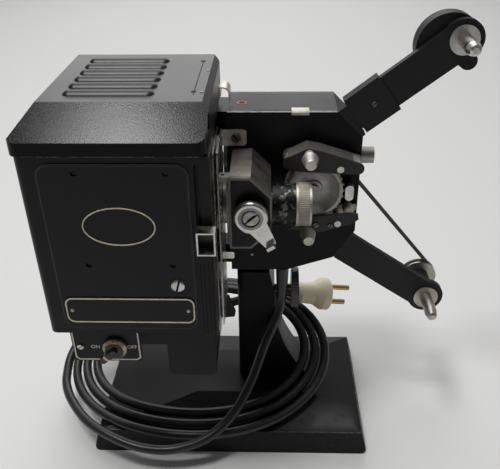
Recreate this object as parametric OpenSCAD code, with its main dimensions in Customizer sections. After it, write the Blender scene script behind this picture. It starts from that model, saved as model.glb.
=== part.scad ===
// Small-gauge film projector: lamphouse, film drive, two reel arms and a tilting head on a cast stand.
// Millimetres. X is the way the lens looks, Y runs away from the film side, Z is up.
// The origin is the middle of the base's underside.

/* [Stand] */
// Width of the cast base
base_w = 190; // [184:1:196]
// Depth of the cast base
base_d = 108; // [106:1:114]
// Height of the rim where the sloping top begins
base_rim_h = 16; // [14:0.5:16]
// How far the rim leans in from the underside
base_lean = 4; // [3:0.5:5]
// Height of the flat that carries the column
plateau_h = 26; // [24:0.5:28]
// Wall of the hollow base casting
base_wall = 5; // [4:0.5:7]
// Thickness of the plate that closes the base
base_plate_t = 2; // [1.5:0.25:3]
// Width of the column at its top
column_w = 25; // [24:0.5:26]
// Depth of the column
column_d = 27; // [25:0.5:28]
// Height of the column's top above the floor
column_top = 119.5; // [118:0.5:119.5]
// Reach of the flared foot to the front of the machine
column_foot = 27; // [22:1:30]
// Height of the tilt axis
tilt_h = 98; // [97:0.5:99]
// Diameter of the tilt pin
tilt_pin_d = 5; // [4:0.5:6]
// Radius of the rounded tongue in the column
tongue_r = 8; // [7.5:0.25:8.5]
// Thickness of the tongue
tongue_t = 10; // [8:0.5:12]
// Diameter of the knurled tilt clamp knob
tilt_knob_d = 28; // [26:1:29]
// Thickness of the tilt clamp knob
tilt_knob_t = 5; // [4:0.5:6]

/* [Mechanism case] */
// Left side of the case
case_x0 = 2.2; // [2:0.1:3]
// Right side of the case
case_x1 = 80.5; // [79.5:0.5:82]
// Front face of the case
case_y0 = -8; // [-9:0.25:-7.5]
// Depth of the case
case_d = 36; // [34:0.5:38]
// Underside of the case
case_z0 = 123; // [122.5:0.25:124]
// Top of the case
case_z1 = 231; // [228:0.5:234]
// Wall of the case, its face plate and its back
case_wall = 2.5; // [2:0.25:3]
// Size of the cut top corner that carries the upper arm
corner_top = 15; // [13:0.5:16]
// Size of the cut lower corner that carries the lower arm
corner_low = 15; // [13:0.5:17]

/* [Lamphouse] */
// Left side of the lamphouse
house_x0 = -96; // [-98:0.5:-94]
// Right side of the lamphouse
house_x1 = -4; // [-4.5:0.25:-4]
// Front of the lamphouse
house_y0 = -79; // [-82:0.5:-77]
// Back of the lamphouse
house_y1 = 16; // [14:0.5:20]
// Underside of the lamphouse
house_z0 = 128; // [126:0.5:130]
// Top edge of the lamphouse walls
house_z1 = 242; // [240:0.5:244]
// Sheet of the lamphouse
house_wall = 2; // [1.5:0.25:2.5]
// Sheet of the roof cap
roof_wall = 1.2; // [1:0.1:1.6]
// Height of the flat of the roof
roof_top = 257; // [255:0.5:260]
// Height of the roof's straight rim
roof_rim = 7; // [5:0.5:8]
// Reach of the roof's left slope
roof_left = 12; // [10:0.5:14]
// Reach of the roof's front slope
roof_front = 17.5; // [15:0.5:20]
// Number of roof louvres
louvres = 6; // [3:1:6]
// Length of a louvre
louvre_l = 47; // [40:1:50]
// Pitch of the louvres
louvre_pitch = 11.1; // [10.5:0.1:11.3]
// Travel of the roof when it is lifted off
roof_lift = 60; // [40:5:80]

/* [Optics] */
// Height of the optical axis
axis_z = 187.5; // [186:0.25:189]
// Place of the optical axis from front to back
axis_y = -36.5; // [-38:0.25:-36]
// Diameter of the lens barrel
lens_d = 23.6; // [22:0.2:24]
// Diameter of the knurled lens ring
lens_ring_d = 25; // [24.5:0.1:25.4]
// Diameter of the lens tube inside the gate block
lens_tube_d = 18; // [16:0.5:19]
// Focusing travel of the lens
lens_travel = 5; // [3:0.5:6]
// Front of the gate block
block_y0 = -49; // [-50:0.25:-48.5]
// Left side of the gate block
block_x0 = 5; // [4.5:0.25:6]
// Right side of the gate block
block_x1 = 27.5; // [26:0.25:28]
// Half the height of the gate block
block_half = 21.5; // [20:0.5:22.5]
// Size of the gate block's cut corners
block_cut = 11; // [9:0.5:12]
// Thickness of the black cover on the gate block
cover_t = 2.5; // [2:0.25:3]
// Radius of the shutter disc
shutter_r = 31; // [30:0.5:32]

/* [Film drive] */
// Pitch of the film's perforations
film_pitch = 3.81; // [3.8:0.01:3.82]
// Teeth on the sprocket
sprocket_teeth = 28; // [26:1:28]
// Width of the sprocket
sprocket_w = 9; // [8:0.5:10]
// Place of the sprocket's axis along the machine
sprocket_x = 52.5; // [52:0.25:53]
// Front face of the sprocket
sprocket_y0 = -21; // [-21.5:0.25:-20.5]
// Diameter of the sprocket shaft
shaft_d = 6; // [5:0.5:7]
// Groove radius of the take-up drive pulley
drive_r = 16; // [15:0.5:16.5]
// Height of the main shaft
main_z = 199.5; // [199:0.25:200]
// Place of the main shaft from front to back
main_y = 4; // [3:0.25:5]
// Diameter of the main shaft
main_d = 5; // [4:0.5:6]
// Diameter of the hand knob on the main shaft
hand_knob_d = 10; // [9:0.5:11]
// Opening swing of the film shoes in degrees
shoe_swing = 20; // [10:1:25]

/* [Reel arms] */
// Place of the upper reel spindle along the machine
upper_x = 129.5; // [126:0.5:132]
// Height of the upper reel spindle
upper_z = 271; // [268:0.5:274]
// Place of the lower reel spindle along the machine
lower_x = 131.5; // [128:0.5:134]
// Height of the lower reel spindle
lower_z = 101.5; // [100:0.5:104]
// Width of the arms
arm_w = 20; // [18:0.5:21]
// Thickness of the arms
arm_t = 4; // [3:0.25:5]
// Diameter of the reel spindles
spindle_d = 7.8; // [7.4:0.1:8]
// Length of a reel spindle in front of its collar
spindle_l = 21; // [18:0.5:24]
// Groove radius of the take-up pulley
takeup_r = 10.5; // [9.5:0.5:11]
// Diameter of the round belts
belt_d = 2.2; // [1.8:0.1:2.6]
// Radius of the rewind gear cover
rewind_r = 18; // [16:0.5:19]

/* [Mains cord] */
// Diameter of the rubber cord
cord_d = 6.4; // [6:0.1:6.6]
// Turns of the loose coil round the column
cord_turns = 3; // [1:1:3]

/* [Fits] */
// Radial clearance of a shaft in its bearing
run_fit = 0.05; // [0.02:0.01:0.08]
// Clearance between pieces that move past each other
slip_gap = 0.3; // [0.25:0.05:0.4]

/* [Hidden] */
$fn = 48;
eps = 0.01;
black = [0.06, 0.06, 0.065];
nickel = [0.72, 0.70, 0.66];
grey = [0.55, 0.54, 0.51];
case_y1 = case_y0 + case_d;
case_in_y0 = case_y0 + case_wall;
case_in_y1 = case_y1 - case_wall;

// A bar along X, Y or Z with its first end at p
module bar_x(p, d, l) translate(p) rotate([0, 90, 0]) cylinder(d = d, h = l);
module bar_y(p, d, l) translate(p) rotate([-90, 0, 0]) cylinder(d = d, h = l);
module bar_z(p, d, l) translate(p) cylinder(d = d, h = l);

// A flat outline in X and Z drawn out along Y
module slab_y(y0, t) translate([0, y0 + t, 0]) rotate([90, 0, 0]) linear_extrude(t) children();

// A flat outline in Y and Z drawn out along X
module slab_x(x0, t) translate([x0, 0, 0]) rotate([90, 0, 90]) linear_extrude(t) children();

// A profile of radius and length spun about Y, with its start at p
module spin_y(p) translate(p) rotate([-90, 0, 0]) rotate_extrude() children();

// The same about X
module spin_x(p) translate(p) rotate([0, 90, 0]) rotate_extrude() children();

// A rectangle with round corners between two points
module round_box(x0, y0, x1, y1, r) {
    translate([x0 + r, y0]) square([x1 - x0 - 2 * r, y1 - y0]);
    translate([x0, y0 + r]) square([x1 - x0, y1 - y0 - 2 * r]);
    for (x = [x0 + r, x1 - r], y = [y0 + r, y1 - r]) translate([x, y]) circle(r);
}

// A straight link between two round ends in X and Z
module link(a, b, w) {
    run = b - a;
    translate(a) rotate(atan2(run[1], run[0])) translate([0, -w / 2]) square([norm(run), w]);
    translate(a) circle(w / 2);
    translate(b) circle(w / 2);
}

// A knurled disc: shallow flutes round a cylinder that lies along Z
module knurled(d, h, flutes, depth) difference() {
    cylinder(d = d, h = h);
    for (i = [0 : flutes - 1]) rotate(i * 360 / flutes) translate([d / 2 + depth / 2, 0, -eps])
        cylinder(d = 2 * depth, h = h + 2 * eps, $fn = 6);
}

// The stand

plateau_x0 = -24;
plateau_x1 = 58;
plateau_y = 22;
column_x0 = 5.5;
column_x1 = column_x0 + column_w;
column_y0 = -7;
tilt_x = column_x0 + column_w / 2;
tilt_y = column_y0 + column_d / 2;

// The hipped outline of the base, drawn in by a wall
module base_form(inset) {
    half_w = base_w / 2 - inset;
    half_d = base_d / 2 - inset;
    lean = base_lean;
    intersection() {
        slab_y(-base_d, 2 * base_d) polygon([[-half_w, -inset], [half_w, -inset],
            [half_w - lean, base_rim_h - inset], [plateau_x1 - inset, plateau_h - inset],
            [plateau_x0 + inset, plateau_h - inset], [lean - half_w, base_rim_h - inset]]);
        slab_x(-base_w, 2 * base_w) polygon([[-half_d, -inset], [half_d, -inset],
            [half_d - lean, base_rim_h - inset], [plateau_y - inset, plateau_h - inset],
            [inset - plateau_y, plateau_h - inset], [lean - half_d, base_rim_h - inset]]);
        translate([0, 0, -1]) linear_extrude(plateau_h + 2)
            round_box(-half_w, -half_d, half_w, half_d, 4);
    }
}

module base_casting() color(black) difference() {
    base_form(0);
    base_form(base_wall);
}

module base_plate() color([0.12, 0.13, 0.12]) intersection() {
    base_form(base_wall);
    translate([-base_w, -base_d, 0]) cube([2 * base_w, 2 * base_d, base_plate_t]);
}

// The foot's curve meets the right side at the tilt axis and ends on the plateau
foot_drop = tilt_h - plateau_h;
foot_r = (column_foot * column_foot + foot_drop * foot_drop) / (2 * column_foot);
pocket_gap = 0.5;
neck_w = 10;
max_tilt = 10;
// The right side is cut back at the top, where the strain relief comes down as the head tilts
relief = 3.8;
relief_z = 104;
neck_swing = (case_z0 - tilt_h) * sin(max_tilt);

module column() color(black) difference() {
    intersection() {
        slab_y(column_y0, column_d) difference() {
            translate([column_x0, plateau_h])
                square([column_w + column_foot, column_top - plateau_h]);
            translate([column_x1 + foot_r, tilt_h]) circle(foot_r, $fn = 160);
            translate([column_x1, tilt_h]) square([column_foot + 1, column_top]);
        }
        translate([0, 0, plateau_h]) linear_extrude(column_top)
            round_box(column_x0, column_y0, column_x1 + column_foot, column_y0 + column_d, 4);
    }
    bar_y([tilt_x, tilt_y - tongue_t / 2 - pocket_gap, tilt_h], 2 * (tongue_r + pocket_gap),
        tongue_t + 2 * pocket_gap);
    translate([tilt_x - neck_w / 2 - neck_swing - pocket_gap, tilt_y - tongue_t / 2 - pocket_gap, tilt_h])
        cube([neck_w + neck_swing + 2 * pocket_gap, tongue_t + 2 * pocket_gap, column_top]);
    bar_y([tilt_x, column_y0 + case_wall, tilt_h], tilt_pin_d, column_d);
    bar_x([tilt_x, tilt_y, tilt_h], stem_d + 2 * run_fit, column_w);
    slab_y(column_y0 - 1, column_d + 2) polygon([[column_x1, relief_z], [column_x1 - relief, column_top + 1],
        [column_x1 + 1, column_top + 1], [column_x1 + 1, relief_z]]);
}

module tilt_pin() color(nickel)
    bar_y([tilt_x, column_y0 + case_wall, tilt_h], tilt_pin_d, column_d - case_wall);

stem_d = 5;
tilt_knob_x = 42;
stem_x = tilt_x + tongue_r + slip_gap;

module tilt_knob() color(nickel) {
    translate([tilt_knob_x, tilt_y, tilt_h]) rotate([0, 90, 0]) knurled(tilt_knob_d, tilt_knob_t, 48, 0.5);
    bar_x([stem_x, tilt_y, tilt_h], stem_d, tilt_knob_x - stem_x);
}

// A cast cleat behind the column: the raised turns of the cord lie in its trough
cleat_x = 9;
cleat_w = 6;
cleat_y = column_y0 + column_d;

module cord_hook() color(black)
    slab_x(cleat_x, cleat_w) polygon([[cleat_y, 54], [cleat_y, 67.1], [36.5, 67.1],
    [53, 62.9], [55.5, 63.5], [56.5, 70], [59.5, 70], [58, 58], [48, 55]]);

// The mains cord
// Each turn of the coil is an oval round the column that winds inwards and climbs behind the column
coil_x = -26;
coil_y = 2;
coil_side = 98;
coil_front = 66;
coil_back = 55.5;
coil_low = 19.5;
coil_rise = 48;
coil_peak = 75;
coil_start = 185;
coil_rings = 24;

function coil_point(t) = let (
    a = coil_start - 360 * t,
    deep = sin(a) > 0 ? coil_back - 7.4 * t : coil_front - 8 * t
) [coil_x + (coil_side - 7.6 * t) * cos(a), coil_y + deep * sin(a),
    coil_low + 2 * t + coil_rise * pow((1 + cos(a - coil_peak)) / 2, 1.6)];

coil_path = [for (i = [0 : coil_rings * cord_turns]) coil_point(i / coil_rings)];

// Hand-chosen routes of the free stretches, from the strain relief to the coil and from there to the plug
gland_x = 35.5;
gland_y = -4.5;
gland_z = 102;
plug_at = [48, 29.3, 76.6];
plug_dir = [0.95, 0.2, -0.2];
lead_route = [[gland_x, gland_y, gland_z], [35.3, -4.9, 98], [34.7, -6, 94], [33.8, -7.7, 89.8],
    [32.3, -9.9, 85.5], [28.4, -14.8, 77.6], [24, -20.6, 69.4], [15, -35.5, 49.5], [3, -52.5, 36],
    [-14, -64, 25.6], [-36, -68.5, 19.5], [-58, -68, 20], [-79, -61.5, 23], [-98, -50, 25],
    [-113, -32.5, 26], [-121, -17, 26.3], coil_point(0)];
tail_route = [coil_point(cord_turns), [-98.6, 10.8, 38.4], [-90, 21.4, 42.6], [-76.8, 27.2, 46.3],
    [-60, 28.2, 50.2], [-45, 28.4, 54.4], [-30, 28.5, 58.8], [-15, 28.5, 63.3], [0, 28.3, 68],
    [14, 28, 72.8], [27, 27.4, 76.4], plug_at - cord_d * unit(plug_dir), plug_at];

// A smooth curve through the points of a route, with extra rings between them
function spline(p, steps) = [for (i = [0 : len(p) - 2], s = [0 : steps - 1]) let (
    u = s / steps,
    a = p[max(i - 1, 0)],
    b = p[i],
    c = p[i + 1],
    d = p[min(i + 2, len(p) - 1)]
) (2 * b + (c - a) * u + (2 * a - 5 * b + 4 * c - d) * u * u + (3 * b - a - 3 * c + d) * u * u * u) / 2,
    p[len(p) - 1]];

function unit(v) = v / norm(v);
function heading(p, i) = unit(p[min(i + 1, len(p) - 1)] - p[max(i - 1, 0)]);

// A tube of the cord's size along a path; the side vector fixes how its rings are turned
module tube(path, sides, side) {
    n = len(path);
    points = [for (i = [0 : n - 1]) let (
        t = heading(path, i),
        u = unit(cross(t, side)),
        v = cross(t, u)
    ) for (k = [0 : sides - 1]) let (a = 360 * k / sides)
        path[i] + cord_d / 2 * (u * cos(a) + v * sin(a))];
    skin = [for (i = [0 : n - 2], k = [0 : sides - 1]) let (
        a = i * sides + k,
        b = i * sides + (k + 1) % sides
    ) each [[a, b, a + sides], [b, b + sides, a + sides]]];
    first = [for (k = [1 : sides - 2]) [0, k + 1, k]];
    last = [for (k = [1 : sides - 2]) let (o = (n - 1) * sides) [o, o + k, o + k + 1]];
    polyhedron(points, concat(skin, first, last));
}

// Least gap between turns of the coil, measured from ring to ring
coil_gap = min([for (i = [0 : len(coil_path) - 1], j = [0 : len(coil_path) - 1])
    if (j > i + coil_rings / 2) norm(coil_path[i] - coil_path[j])]) - cord_d;
echo(coil_gap = coil_gap);

module cord_lead() color([0.05, 0.05, 0.05]) tube(spline(lead_route, 2), 8, [0, 1, 0]);
module cord_coil() color([0.05, 0.05, 0.05]) tube(coil_path, 6, [0, 0, 1]);
module cord_tail() color([0.05, 0.05, 0.05]) tube(spline(tail_route, 2), 8, [0, 0, 1]);

module along_plug() translate(plug_at)
    rotate([0, acos(plug_dir[2] / norm(plug_dir)), atan2(plug_dir[1], plug_dir[0])]) children();

plug_l = 24;
plug_pin_d = 4;
plug_pin_l = 15;
plug_pin_pitch = 13;

module plug_body() color([0.90, 0.84, 0.70]) along_plug() difference() {
    rotate_extrude() polygon([[0, 0.3], [6, 0.3], [7.5, 2], [8.5, 12], [11.5, 17], [12, 18],
        [12, plug_l - 1], [11, plug_l], [0, plug_l]]);
    for (s = [-1, 1]) translate([s * plug_pin_pitch / 2, 0, plug_l - 8]) cylinder(d = plug_pin_d, h = 9);
}

module plug_pins() color([0.80, 0.68, 0.38]) along_plug()
    for (s = [-1, 1]) translate([s * plug_pin_pitch / 2, 0, plug_l - 8])
        cylinder(d = plug_pin_d, h = 8 + plug_pin_l);

module cord_gland() color([0.05, 0.05, 0.05]) translate([gland_x, gland_y, gland_z + slip_gap])
    cylinder(d1 = cord_d + 0.8, d2 = cord_d + 2.2, h = case_z0 - gland_z - slip_gap);

// The bright plates beside the lamphouse, with the shutter running between them
plate_t = 0.9;
shutter_t = 0.7;
plate_x = house_x1;
shutter_x = plate_x + plate_t + slip_gap;
gate_x = shutter_x + shutter_t + slip_gap;
plate_y0 = -44;
plate_z0 = 101;
plate_z1 = 222;

// The mechanism case

module case_outline(inset) polygon([[case_x0 + inset, case_z0 + inset],
    [case_x1 - 2.8 * corner_low + inset * 0.2, case_z0 + inset],
    [case_x1 - corner_low * 0.85 - inset * 0.4, case_z0 + corner_low * 0.66 + inset * 0.8],
    [case_x1 - inset, case_z0 + 2 * corner_low + inset * 0.4],
    [case_x1 - inset, case_z1 - corner_top - inset * 0.4],
    [case_x1 - corner_top - inset * 0.4, case_z1 - inset], [case_x0 + inset, case_z1 - inset]]);

sprocket_r = sprocket_teeth * film_pitch / 360 * 180 / PI;
belt_y = case_y1 - case_wall - 7.5;
belt_slot = 6;

// Lugs and a bridge on the left wall carry the lamphouse, above and below the shutter
bridge_d = 25;
bridge_drop = 0.5;
lug_x = plate_x + plate_t;
lug_y = 14;
lug_low_h = 14;
lug_high_h = 6;

module mechanism_case() color(black) difference() {
    union() {
        slab_y(case_in_y0, case_d - 2 * case_wall) difference() {
            case_outline(0);
            case_outline(case_wall);
        }
        translate([lug_x, case_in_y0, case_z0 + 4]) cube([case_x0 - lug_x + eps, lug_y, lug_low_h]);
        translate([lug_x, case_in_y0, plate_z1 - lug_high_h])
            cube([case_x0 - lug_x + eps, lug_y, lug_high_h]);
        translate([house_x1, case_in_y0, plate_z1])
            cube([case_x0 - house_x1 + eps, bridge_d, case_z1 - plate_z1 - bridge_drop]);
    }
    translate([case_x1 - corner_low, belt_y - belt_slot / 2, case_z0 + corner_low / 2])
        cube([corner_low * 2, belt_slot, 3.6 * corner_low]);
    bar_x([case_x1 - corner_low, main_y, main_z], main_d + 2 * run_fit, 2 * corner_low);
    bar_x([case_x0 - 1, main_y, main_z], main_d + 2 * run_fit, 3 * case_wall);
}

module face_plate() color(black) difference() {
    slab_y(case_y0, case_wall) case_outline(0);
    bar_y([sprocket_x, case_y0 - 1, axis_z], bush_d, case_wall + 2);
    for (p = post_places) bar_y([p[0], case_y0 - 1, p[1]], post_d, case_wall + 2);
}

module back_cover() color(black) difference() {
    slab_y(case_in_y1, case_wall) case_outline(0);
    bar_y([sprocket_x, case_in_y1 - 1, axis_z], bush_d, case_wall + 2);
}

bush_d = 10;
bush_out = 1;
bush_in = 2;

module bushings() color([0.72, 0.56, 0.28]) {
    for (y = [case_y0 - bush_out, case_in_y1 - bush_in]) difference() {
        bar_y([sprocket_x, y, axis_z], bush_d, case_wall + bush_out + bush_in - (y > 0 ? bush_out : 0));
        bar_y([sprocket_x, y - 1, axis_z], shaft_d + 2 * run_fit, case_d);
    }
}

// Screw and rivet heads that show, and the clip on the front top edge of the case
screw_h = 1.2;
panel_t = 1.4;
cover_inset = 6;
bracket_t = 1;
bracket_l = 15;
bracket_z = 216;
bracket_w = 10;

module head_screws() color(nickel) {
    for (x = [case_x0 + cover_inset, case_x1 - 3 * cover_inset],
            z = [case_z0 + 3 * cover_inset, case_z1 - 2 * cover_inset])
        bar_y([x, case_y1, z], 5, screw_h);
    bar_y([case_x0 + bracket_l / 3, case_y0 - bracket_t - screw_h, bracket_z], 6, screw_h);
    bar_y([panel_screw_x, house_y0 - panel_t - screw_h, panel_screw_z], 8, screw_h);
    bar_y([switch_x0 + 4.6, switch_y - screw_h, switch_z], 4, screw_h);
    translate([tab_x, case_y0 - bracket_t, case_z1 - 2]) cube([10, bracket_t, 2 + bracket_t]);
    translate([tab_x, case_y0 - bracket_t, case_z1]) cube([10, 5, bracket_t]);
}

module tilt_tongue() color(black) {
    difference() {
        union() {
            bar_y([tilt_x, tilt_y - tongue_t / 2, tilt_h], 2 * tongue_r, tongue_t);
            translate([tilt_x - neck_w / 2, tilt_y - tongue_t / 2, tilt_h])
                cube([neck_w, tongue_t, case_z0 - tilt_h]);
        }
        bar_y([tilt_x, tilt_y - tongue_t, tilt_h], tilt_pin_d + 2 * run_fit, 2 * tongue_t);
    }
}

// Shutter and gate plates
shutter_y = -12;
shutter_z = axis_z - 11;
hub_d = 4;
hub_seat = 5;

module shutter_plate() color(nickel) difference() {
    slab_x(plate_x, plate_t) round_box(plate_y0 - 2, plate_z0, house_y1 - 2, plate_z1, 2);
    bar_x([plate_x - 1, axis_y, axis_z], 14, plate_t + 2);
}

module gate_plate() color(nickel) {
    difference() {
        slab_x(gate_x, plate_t) round_box(plate_y0, plate_z0 + 4, case_y0, plate_z1, 2);
        bar_x([gate_x - 1, axis_y, axis_z], 8, plate_t + 2);
        bar_x([gate_x - 1, shutter_y, shutter_z], hub_d + 2 * run_fit, plate_t + 2);
    }
    slab_y(case_y0 - bracket_t, bracket_t)
        round_box(gate_x, bracket_z - bracket_w / 2, case_x0 + bracket_l - 4, bracket_z + bracket_w / 2, 2);
    slab_y(case_y0 - bracket_t, bracket_t)
        round_box(gate_x, case_z0 + 9, case_x0 + 2, case_z0 + 14, 1.2);
}

tab_x = 39;
wheel_r = 14;
wheel_t = 2.2;
wheel_x = gate_x + plate_t + slip_gap;

module shutter() color(grey) {
    slab_x(shutter_x, shutter_t) translate([shutter_y, shutter_z]) difference() {
        circle(shutter_r);
        for (a = [20, 200]) rotate(a) polygon([[13, -1], [40, -14], [40, 14], [13, 1]]);
    }
    bar_x([shutter_x, shutter_y, shutter_z], hub_d, block_x0 + hub_seat - slip_gap - shutter_x);
    bar_x([wheel_x, shutter_y, shutter_z], 2 * wheel_r, wheel_t);
}

// The main shaft: friction wheel for the shutter, worm for the sprocket, motor pulley and hand knob
wheel_gap = norm([main_y - shutter_y, main_z - shutter_z]) - 2 * wheel_r;
worm_d = 6.4;
worm_l = 16;
main_pulley_r = 7;
motor_pulley_r = 4.5;
flange = 1.4;
pulley_w = 5;
motor_belt_x = 67.5;

// A grooved pulley along Z with room for the belt at its groove radius
module pulley(r, w) {
    floor_r = r - belt_d / 2 - slip_gap;
    half = belt_d / 2 + slip_gap;
    rotate_extrude() polygon([[0, 0], [r + flange, 0], [r + flange, w / 2 - half - 0.3],
        [floor_r, w / 2 - half],
        [floor_r, w / 2 + half], [r + flange, w / 2 + half + 0.3], [r + flange, w], [0, w]]);
}

module main_shaft() color(nickel) {
    bar_x([wheel_x, main_y, main_z], main_d, case_x1 + 1 - wheel_x);
    bar_x([wheel_x, main_y, main_z], 2 * (wheel_r + wheel_gap - slip_gap), wheel_t);
    spin_x([sprocket_x - worm_l / 2, main_y, main_z]) difference() {
        square([worm_d / 2, worm_l]);
        for (i = [1 : 7]) translate([worm_d / 2, i * worm_l / 8]) circle(0.6, $fn = 4);
    }
    translate([motor_belt_x - pulley_w / 2, main_y, main_z])
        rotate([0, 90, 0]) pulley(main_pulley_r, pulley_w);
}

module hand_knob() color(grey) difference() {
    union() {
        bar_x([case_x1 + 1, main_y, main_z], hand_knob_d, 8);
        bar_x([case_x1 + 0.4, main_y, main_z], hand_knob_d - 3, 1);
    }
    bar_x([case_x1, main_y, main_z], main_d, 1);
}

motor_d = 28;
motor_l = 36;
motor_x = case_x0 + 5;
motor_y = 9.5;
motor_z = case_z0 + 25;
motor_foot_w = 6;
motor_foot_d = 16;
rotor_d = 4;

module motor() color([0.18, 0.18, 0.19]) difference() {
    union() {
        bar_x([motor_x, motor_y, motor_z], motor_d, motor_l);
        for (x = [motor_x + 4, motor_x + motor_l - motor_foot_w - 4])
            translate([x, motor_y - motor_foot_d / 2, case_z0 + case_wall])
                cube([motor_foot_w, motor_foot_d, motor_z - case_z0 - case_wall]);
    }
    bar_x([motor_x + 6, motor_y, motor_z], rotor_d + 2 * run_fit, motor_l);
}

module motor_rotor() color(nickel) {
    bar_x([motor_x + 6.5, motor_y, motor_z], rotor_d,
        motor_belt_x + pulley_w / 2 + slip_gap - motor_x - 6.5);
    translate([motor_belt_x - pulley_w / 2, motor_y, motor_z])
        rotate([0, 90, 0]) pulley(motor_pulley_r, pulley_w);
}

// The loop of a belt about two pulleys, filled to a given distance beyond its centre line
module belt_fill(a, ra, b, rb, grow) {
    run = b - a;
    lean = acos((ra - rb) / norm(run));
    aim = atan2(run[1], run[0]);
    translate(a) circle(ra + grow);
    translate(b) circle(rb + grow);
    polygon([for (s = [1, -1]) a + (ra + grow) * [cos(aim + s * lean), sin(aim + s * lean)],
        for (s = [-1, 1]) b + (rb + grow) * [cos(aim + s * lean), sin(aim + s * lean)]]);
}

module belt_loop(a, ra, b, rb) translate([0, 0, -belt_d / 2]) linear_extrude(belt_d) difference() {
    belt_fill(a, ra, b, rb, belt_d / 2);
    belt_fill(a, ra, b, rb, -belt_d / 2);
}

module belts() color([0.30, 0.26, 0.20]) {
    translate([0, belt_y, 0]) rotate([90, 0, 0])
        belt_loop([sprocket_x, axis_z], drive_r, [lower_x, lower_z], takeup_r);
    translate([motor_belt_x, 0, 0]) rotate([90, 0, 90])
        belt_loop([motor_y, motor_z], motor_pulley_r, [main_y, main_z], main_pulley_r);
}

// The lamphouse

pillar_x0 = -10.2;
pillar_x1 = -1.6;
pillar_y0 = house_y0 - 0.6;
pillar_d = 14;
slot_w = 2.6;
slot_x = -8.3;
slot_z0 = 181;
slot_z1 = 232;
slot_deep = 3;
socket_x = (house_x0 + house_x1) / 2;

module lamphouse() color(black) difference() {
    union() {
        difference() {
            translate([0, 0, house_z0]) linear_extrude(house_z1 - house_z0)
                round_box(house_x0, house_y0, house_x1, house_y1, 4);
            translate([0, 0, house_z0 + house_wall]) linear_extrude(house_z1)
                round_box(house_x0 + house_wall, house_y0 + house_wall, house_x1 - house_wall,
                    house_y1 - house_wall, 2);
        }
        translate([pillar_x0, pillar_y0, house_z0])
            cube([pillar_x1 - pillar_x0, pillar_d, roof_top - roof_slope_h - roof_rim - slip_gap - house_z0]);
    }
    bar_x([house_x1 - 2 * house_wall, axis_y, axis_z], condenser_d - 6, 3 * house_wall);
    slab_y(pillar_y0 - 1, slot_deep + 1)
        link([slot_x, slot_z0 + slot_w / 2], [slot_x, slot_z1 - slot_w / 2], slot_w);
    for (i = [0 : 3]) translate([pillar_x0 + 1 + i * 2, pillar_y0 - 1, house_z0 - 1])
        cube([0.8, 1.6, slot_z0 - house_z0 - 4]);
    bar_z([socket_x, axis_y, house_z0 - 1], 8, house_wall + 2);
}

// The riveted front panel has a stepped edge and four dimples
panel_x0 = house_x0 + 10;
panel_x1 = -12;
panel_z0 = house_z0 + 4;
panel_z1 = 232;
panel_r = 7;
panel_edge = 0.8;
panel_screw_x = -21.4;
panel_screw_z = 162.3;
dimple_d = 3.2;
dimple_deep = 0.9;
dimple_x = [-67, -23];
dimple_z = [175, 227.5];

module front_panel() color(black) difference() {
    union() {
        slab_y(house_y0 - panel_t / 2, panel_t / 2)
            round_box(panel_x0, panel_z0, panel_x1, panel_z1, panel_r);
        slab_y(house_y0 - panel_t, panel_t) round_box(panel_x0 + panel_edge, panel_z0 + panel_edge,
            panel_x1 - panel_edge, panel_z1 - panel_edge, panel_r - panel_edge);
    }
    for (x = dimple_x, z = dimple_z) bar_y([x, house_y0 - panel_t - 1, z], dimple_d, 1 + dimple_deep);
}

slider_x = -9.3;
slider_z = slot_z0 + 4.7;
slider_w = 9.4;
slider_h = 13.2;
slider_out = 8;
slider_t = 0.8;

module frame_slider() color(nickel) translate([slider_x, pillar_y0 - slip_gap - slider_out, slider_z]) {
    translate([0, slider_out - slider_t, 0]) cube([slider_w, slider_t, slider_h]);
    for (x = [0, slider_w - slider_t]) translate([x, 0, 0]) cube([slider_t, slider_out, slider_h]);
    for (z = [0, slider_h - slider_t]) translate([0, 0, z]) cube([slider_w, slider_out, slider_t]);
    translate([slot_x - slot_w / 2 + slip_gap - slider_x, slider_out - eps, 2])
        cube([slot_w - 2 * slip_gap, slot_deep, slider_h - 4]);
}

// The roof cap: a hipped lid with pressed louvres that lifts off
roof_slope_h = 14;
roof_x0 = house_x0 - slip_gap - roof_wall;
roof_x1 = house_x1 + slip_gap + roof_wall;
roof_y0 = house_y0 - slip_gap - roof_wall;
roof_y1 = house_y1 + slip_gap + roof_wall;
roof_z0 = roof_top - roof_slope_h - roof_rim;
roof_edge = roof_top - roof_slope_h;
roof_corner = 5.5;

module roof_form(t, low) intersection() {
    slab_y(roof_y0 + t, roof_y1 - roof_y0 - 2 * t) polygon([[roof_x0 + t, low],
        [roof_x0 + t, roof_edge - t / 2],
        [roof_x0 + roof_left + t / 2, roof_top - t], [roof_x1 - t - 3, roof_top - t],
        [roof_x1 - t, roof_top - t - 3], [roof_x1 - t, low]]);
    slab_x(roof_x0 + t, roof_x1 - roof_x0 - 2 * t) polygon([[roof_y0 + t, low],
        [roof_y0 + t, roof_edge - t / 2],
        [roof_y0 + roof_front + t / 2, roof_top - t], [roof_y1 - t, roof_top - t], [roof_y1 - t, low]]);
    translate([0, 0, low]) linear_extrude(roof_top - low)
        round_box(roof_x0 + t, roof_y0 + t, roof_x1 - t, roof_y1 - t, roof_corner - t);
}

louvre_r = 4.2;
louvre_h = 1.9;
louvre_x = -52.5;
louvre_y = -24.3;

// A pressed louvre: a low round-ended hood, open along its back edge
module louvre_hood() intersection() {
    translate([0, 0, louvre_h - louvre_r]) {
        bar_x([-louvre_l / 2 + louvre_r, 0, 0], 2 * louvre_r, louvre_l - 2 * louvre_r);
        for (s = [-1, 1]) translate([s * (louvre_l / 2 - louvre_r), 0, 0]) sphere(louvre_r);
    }
    translate([-louvre_l, -louvre_r * 2, -roof_wall]) cube([2 * louvre_l, 4 * louvre_r, 2 * louvre_h]);
}

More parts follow.
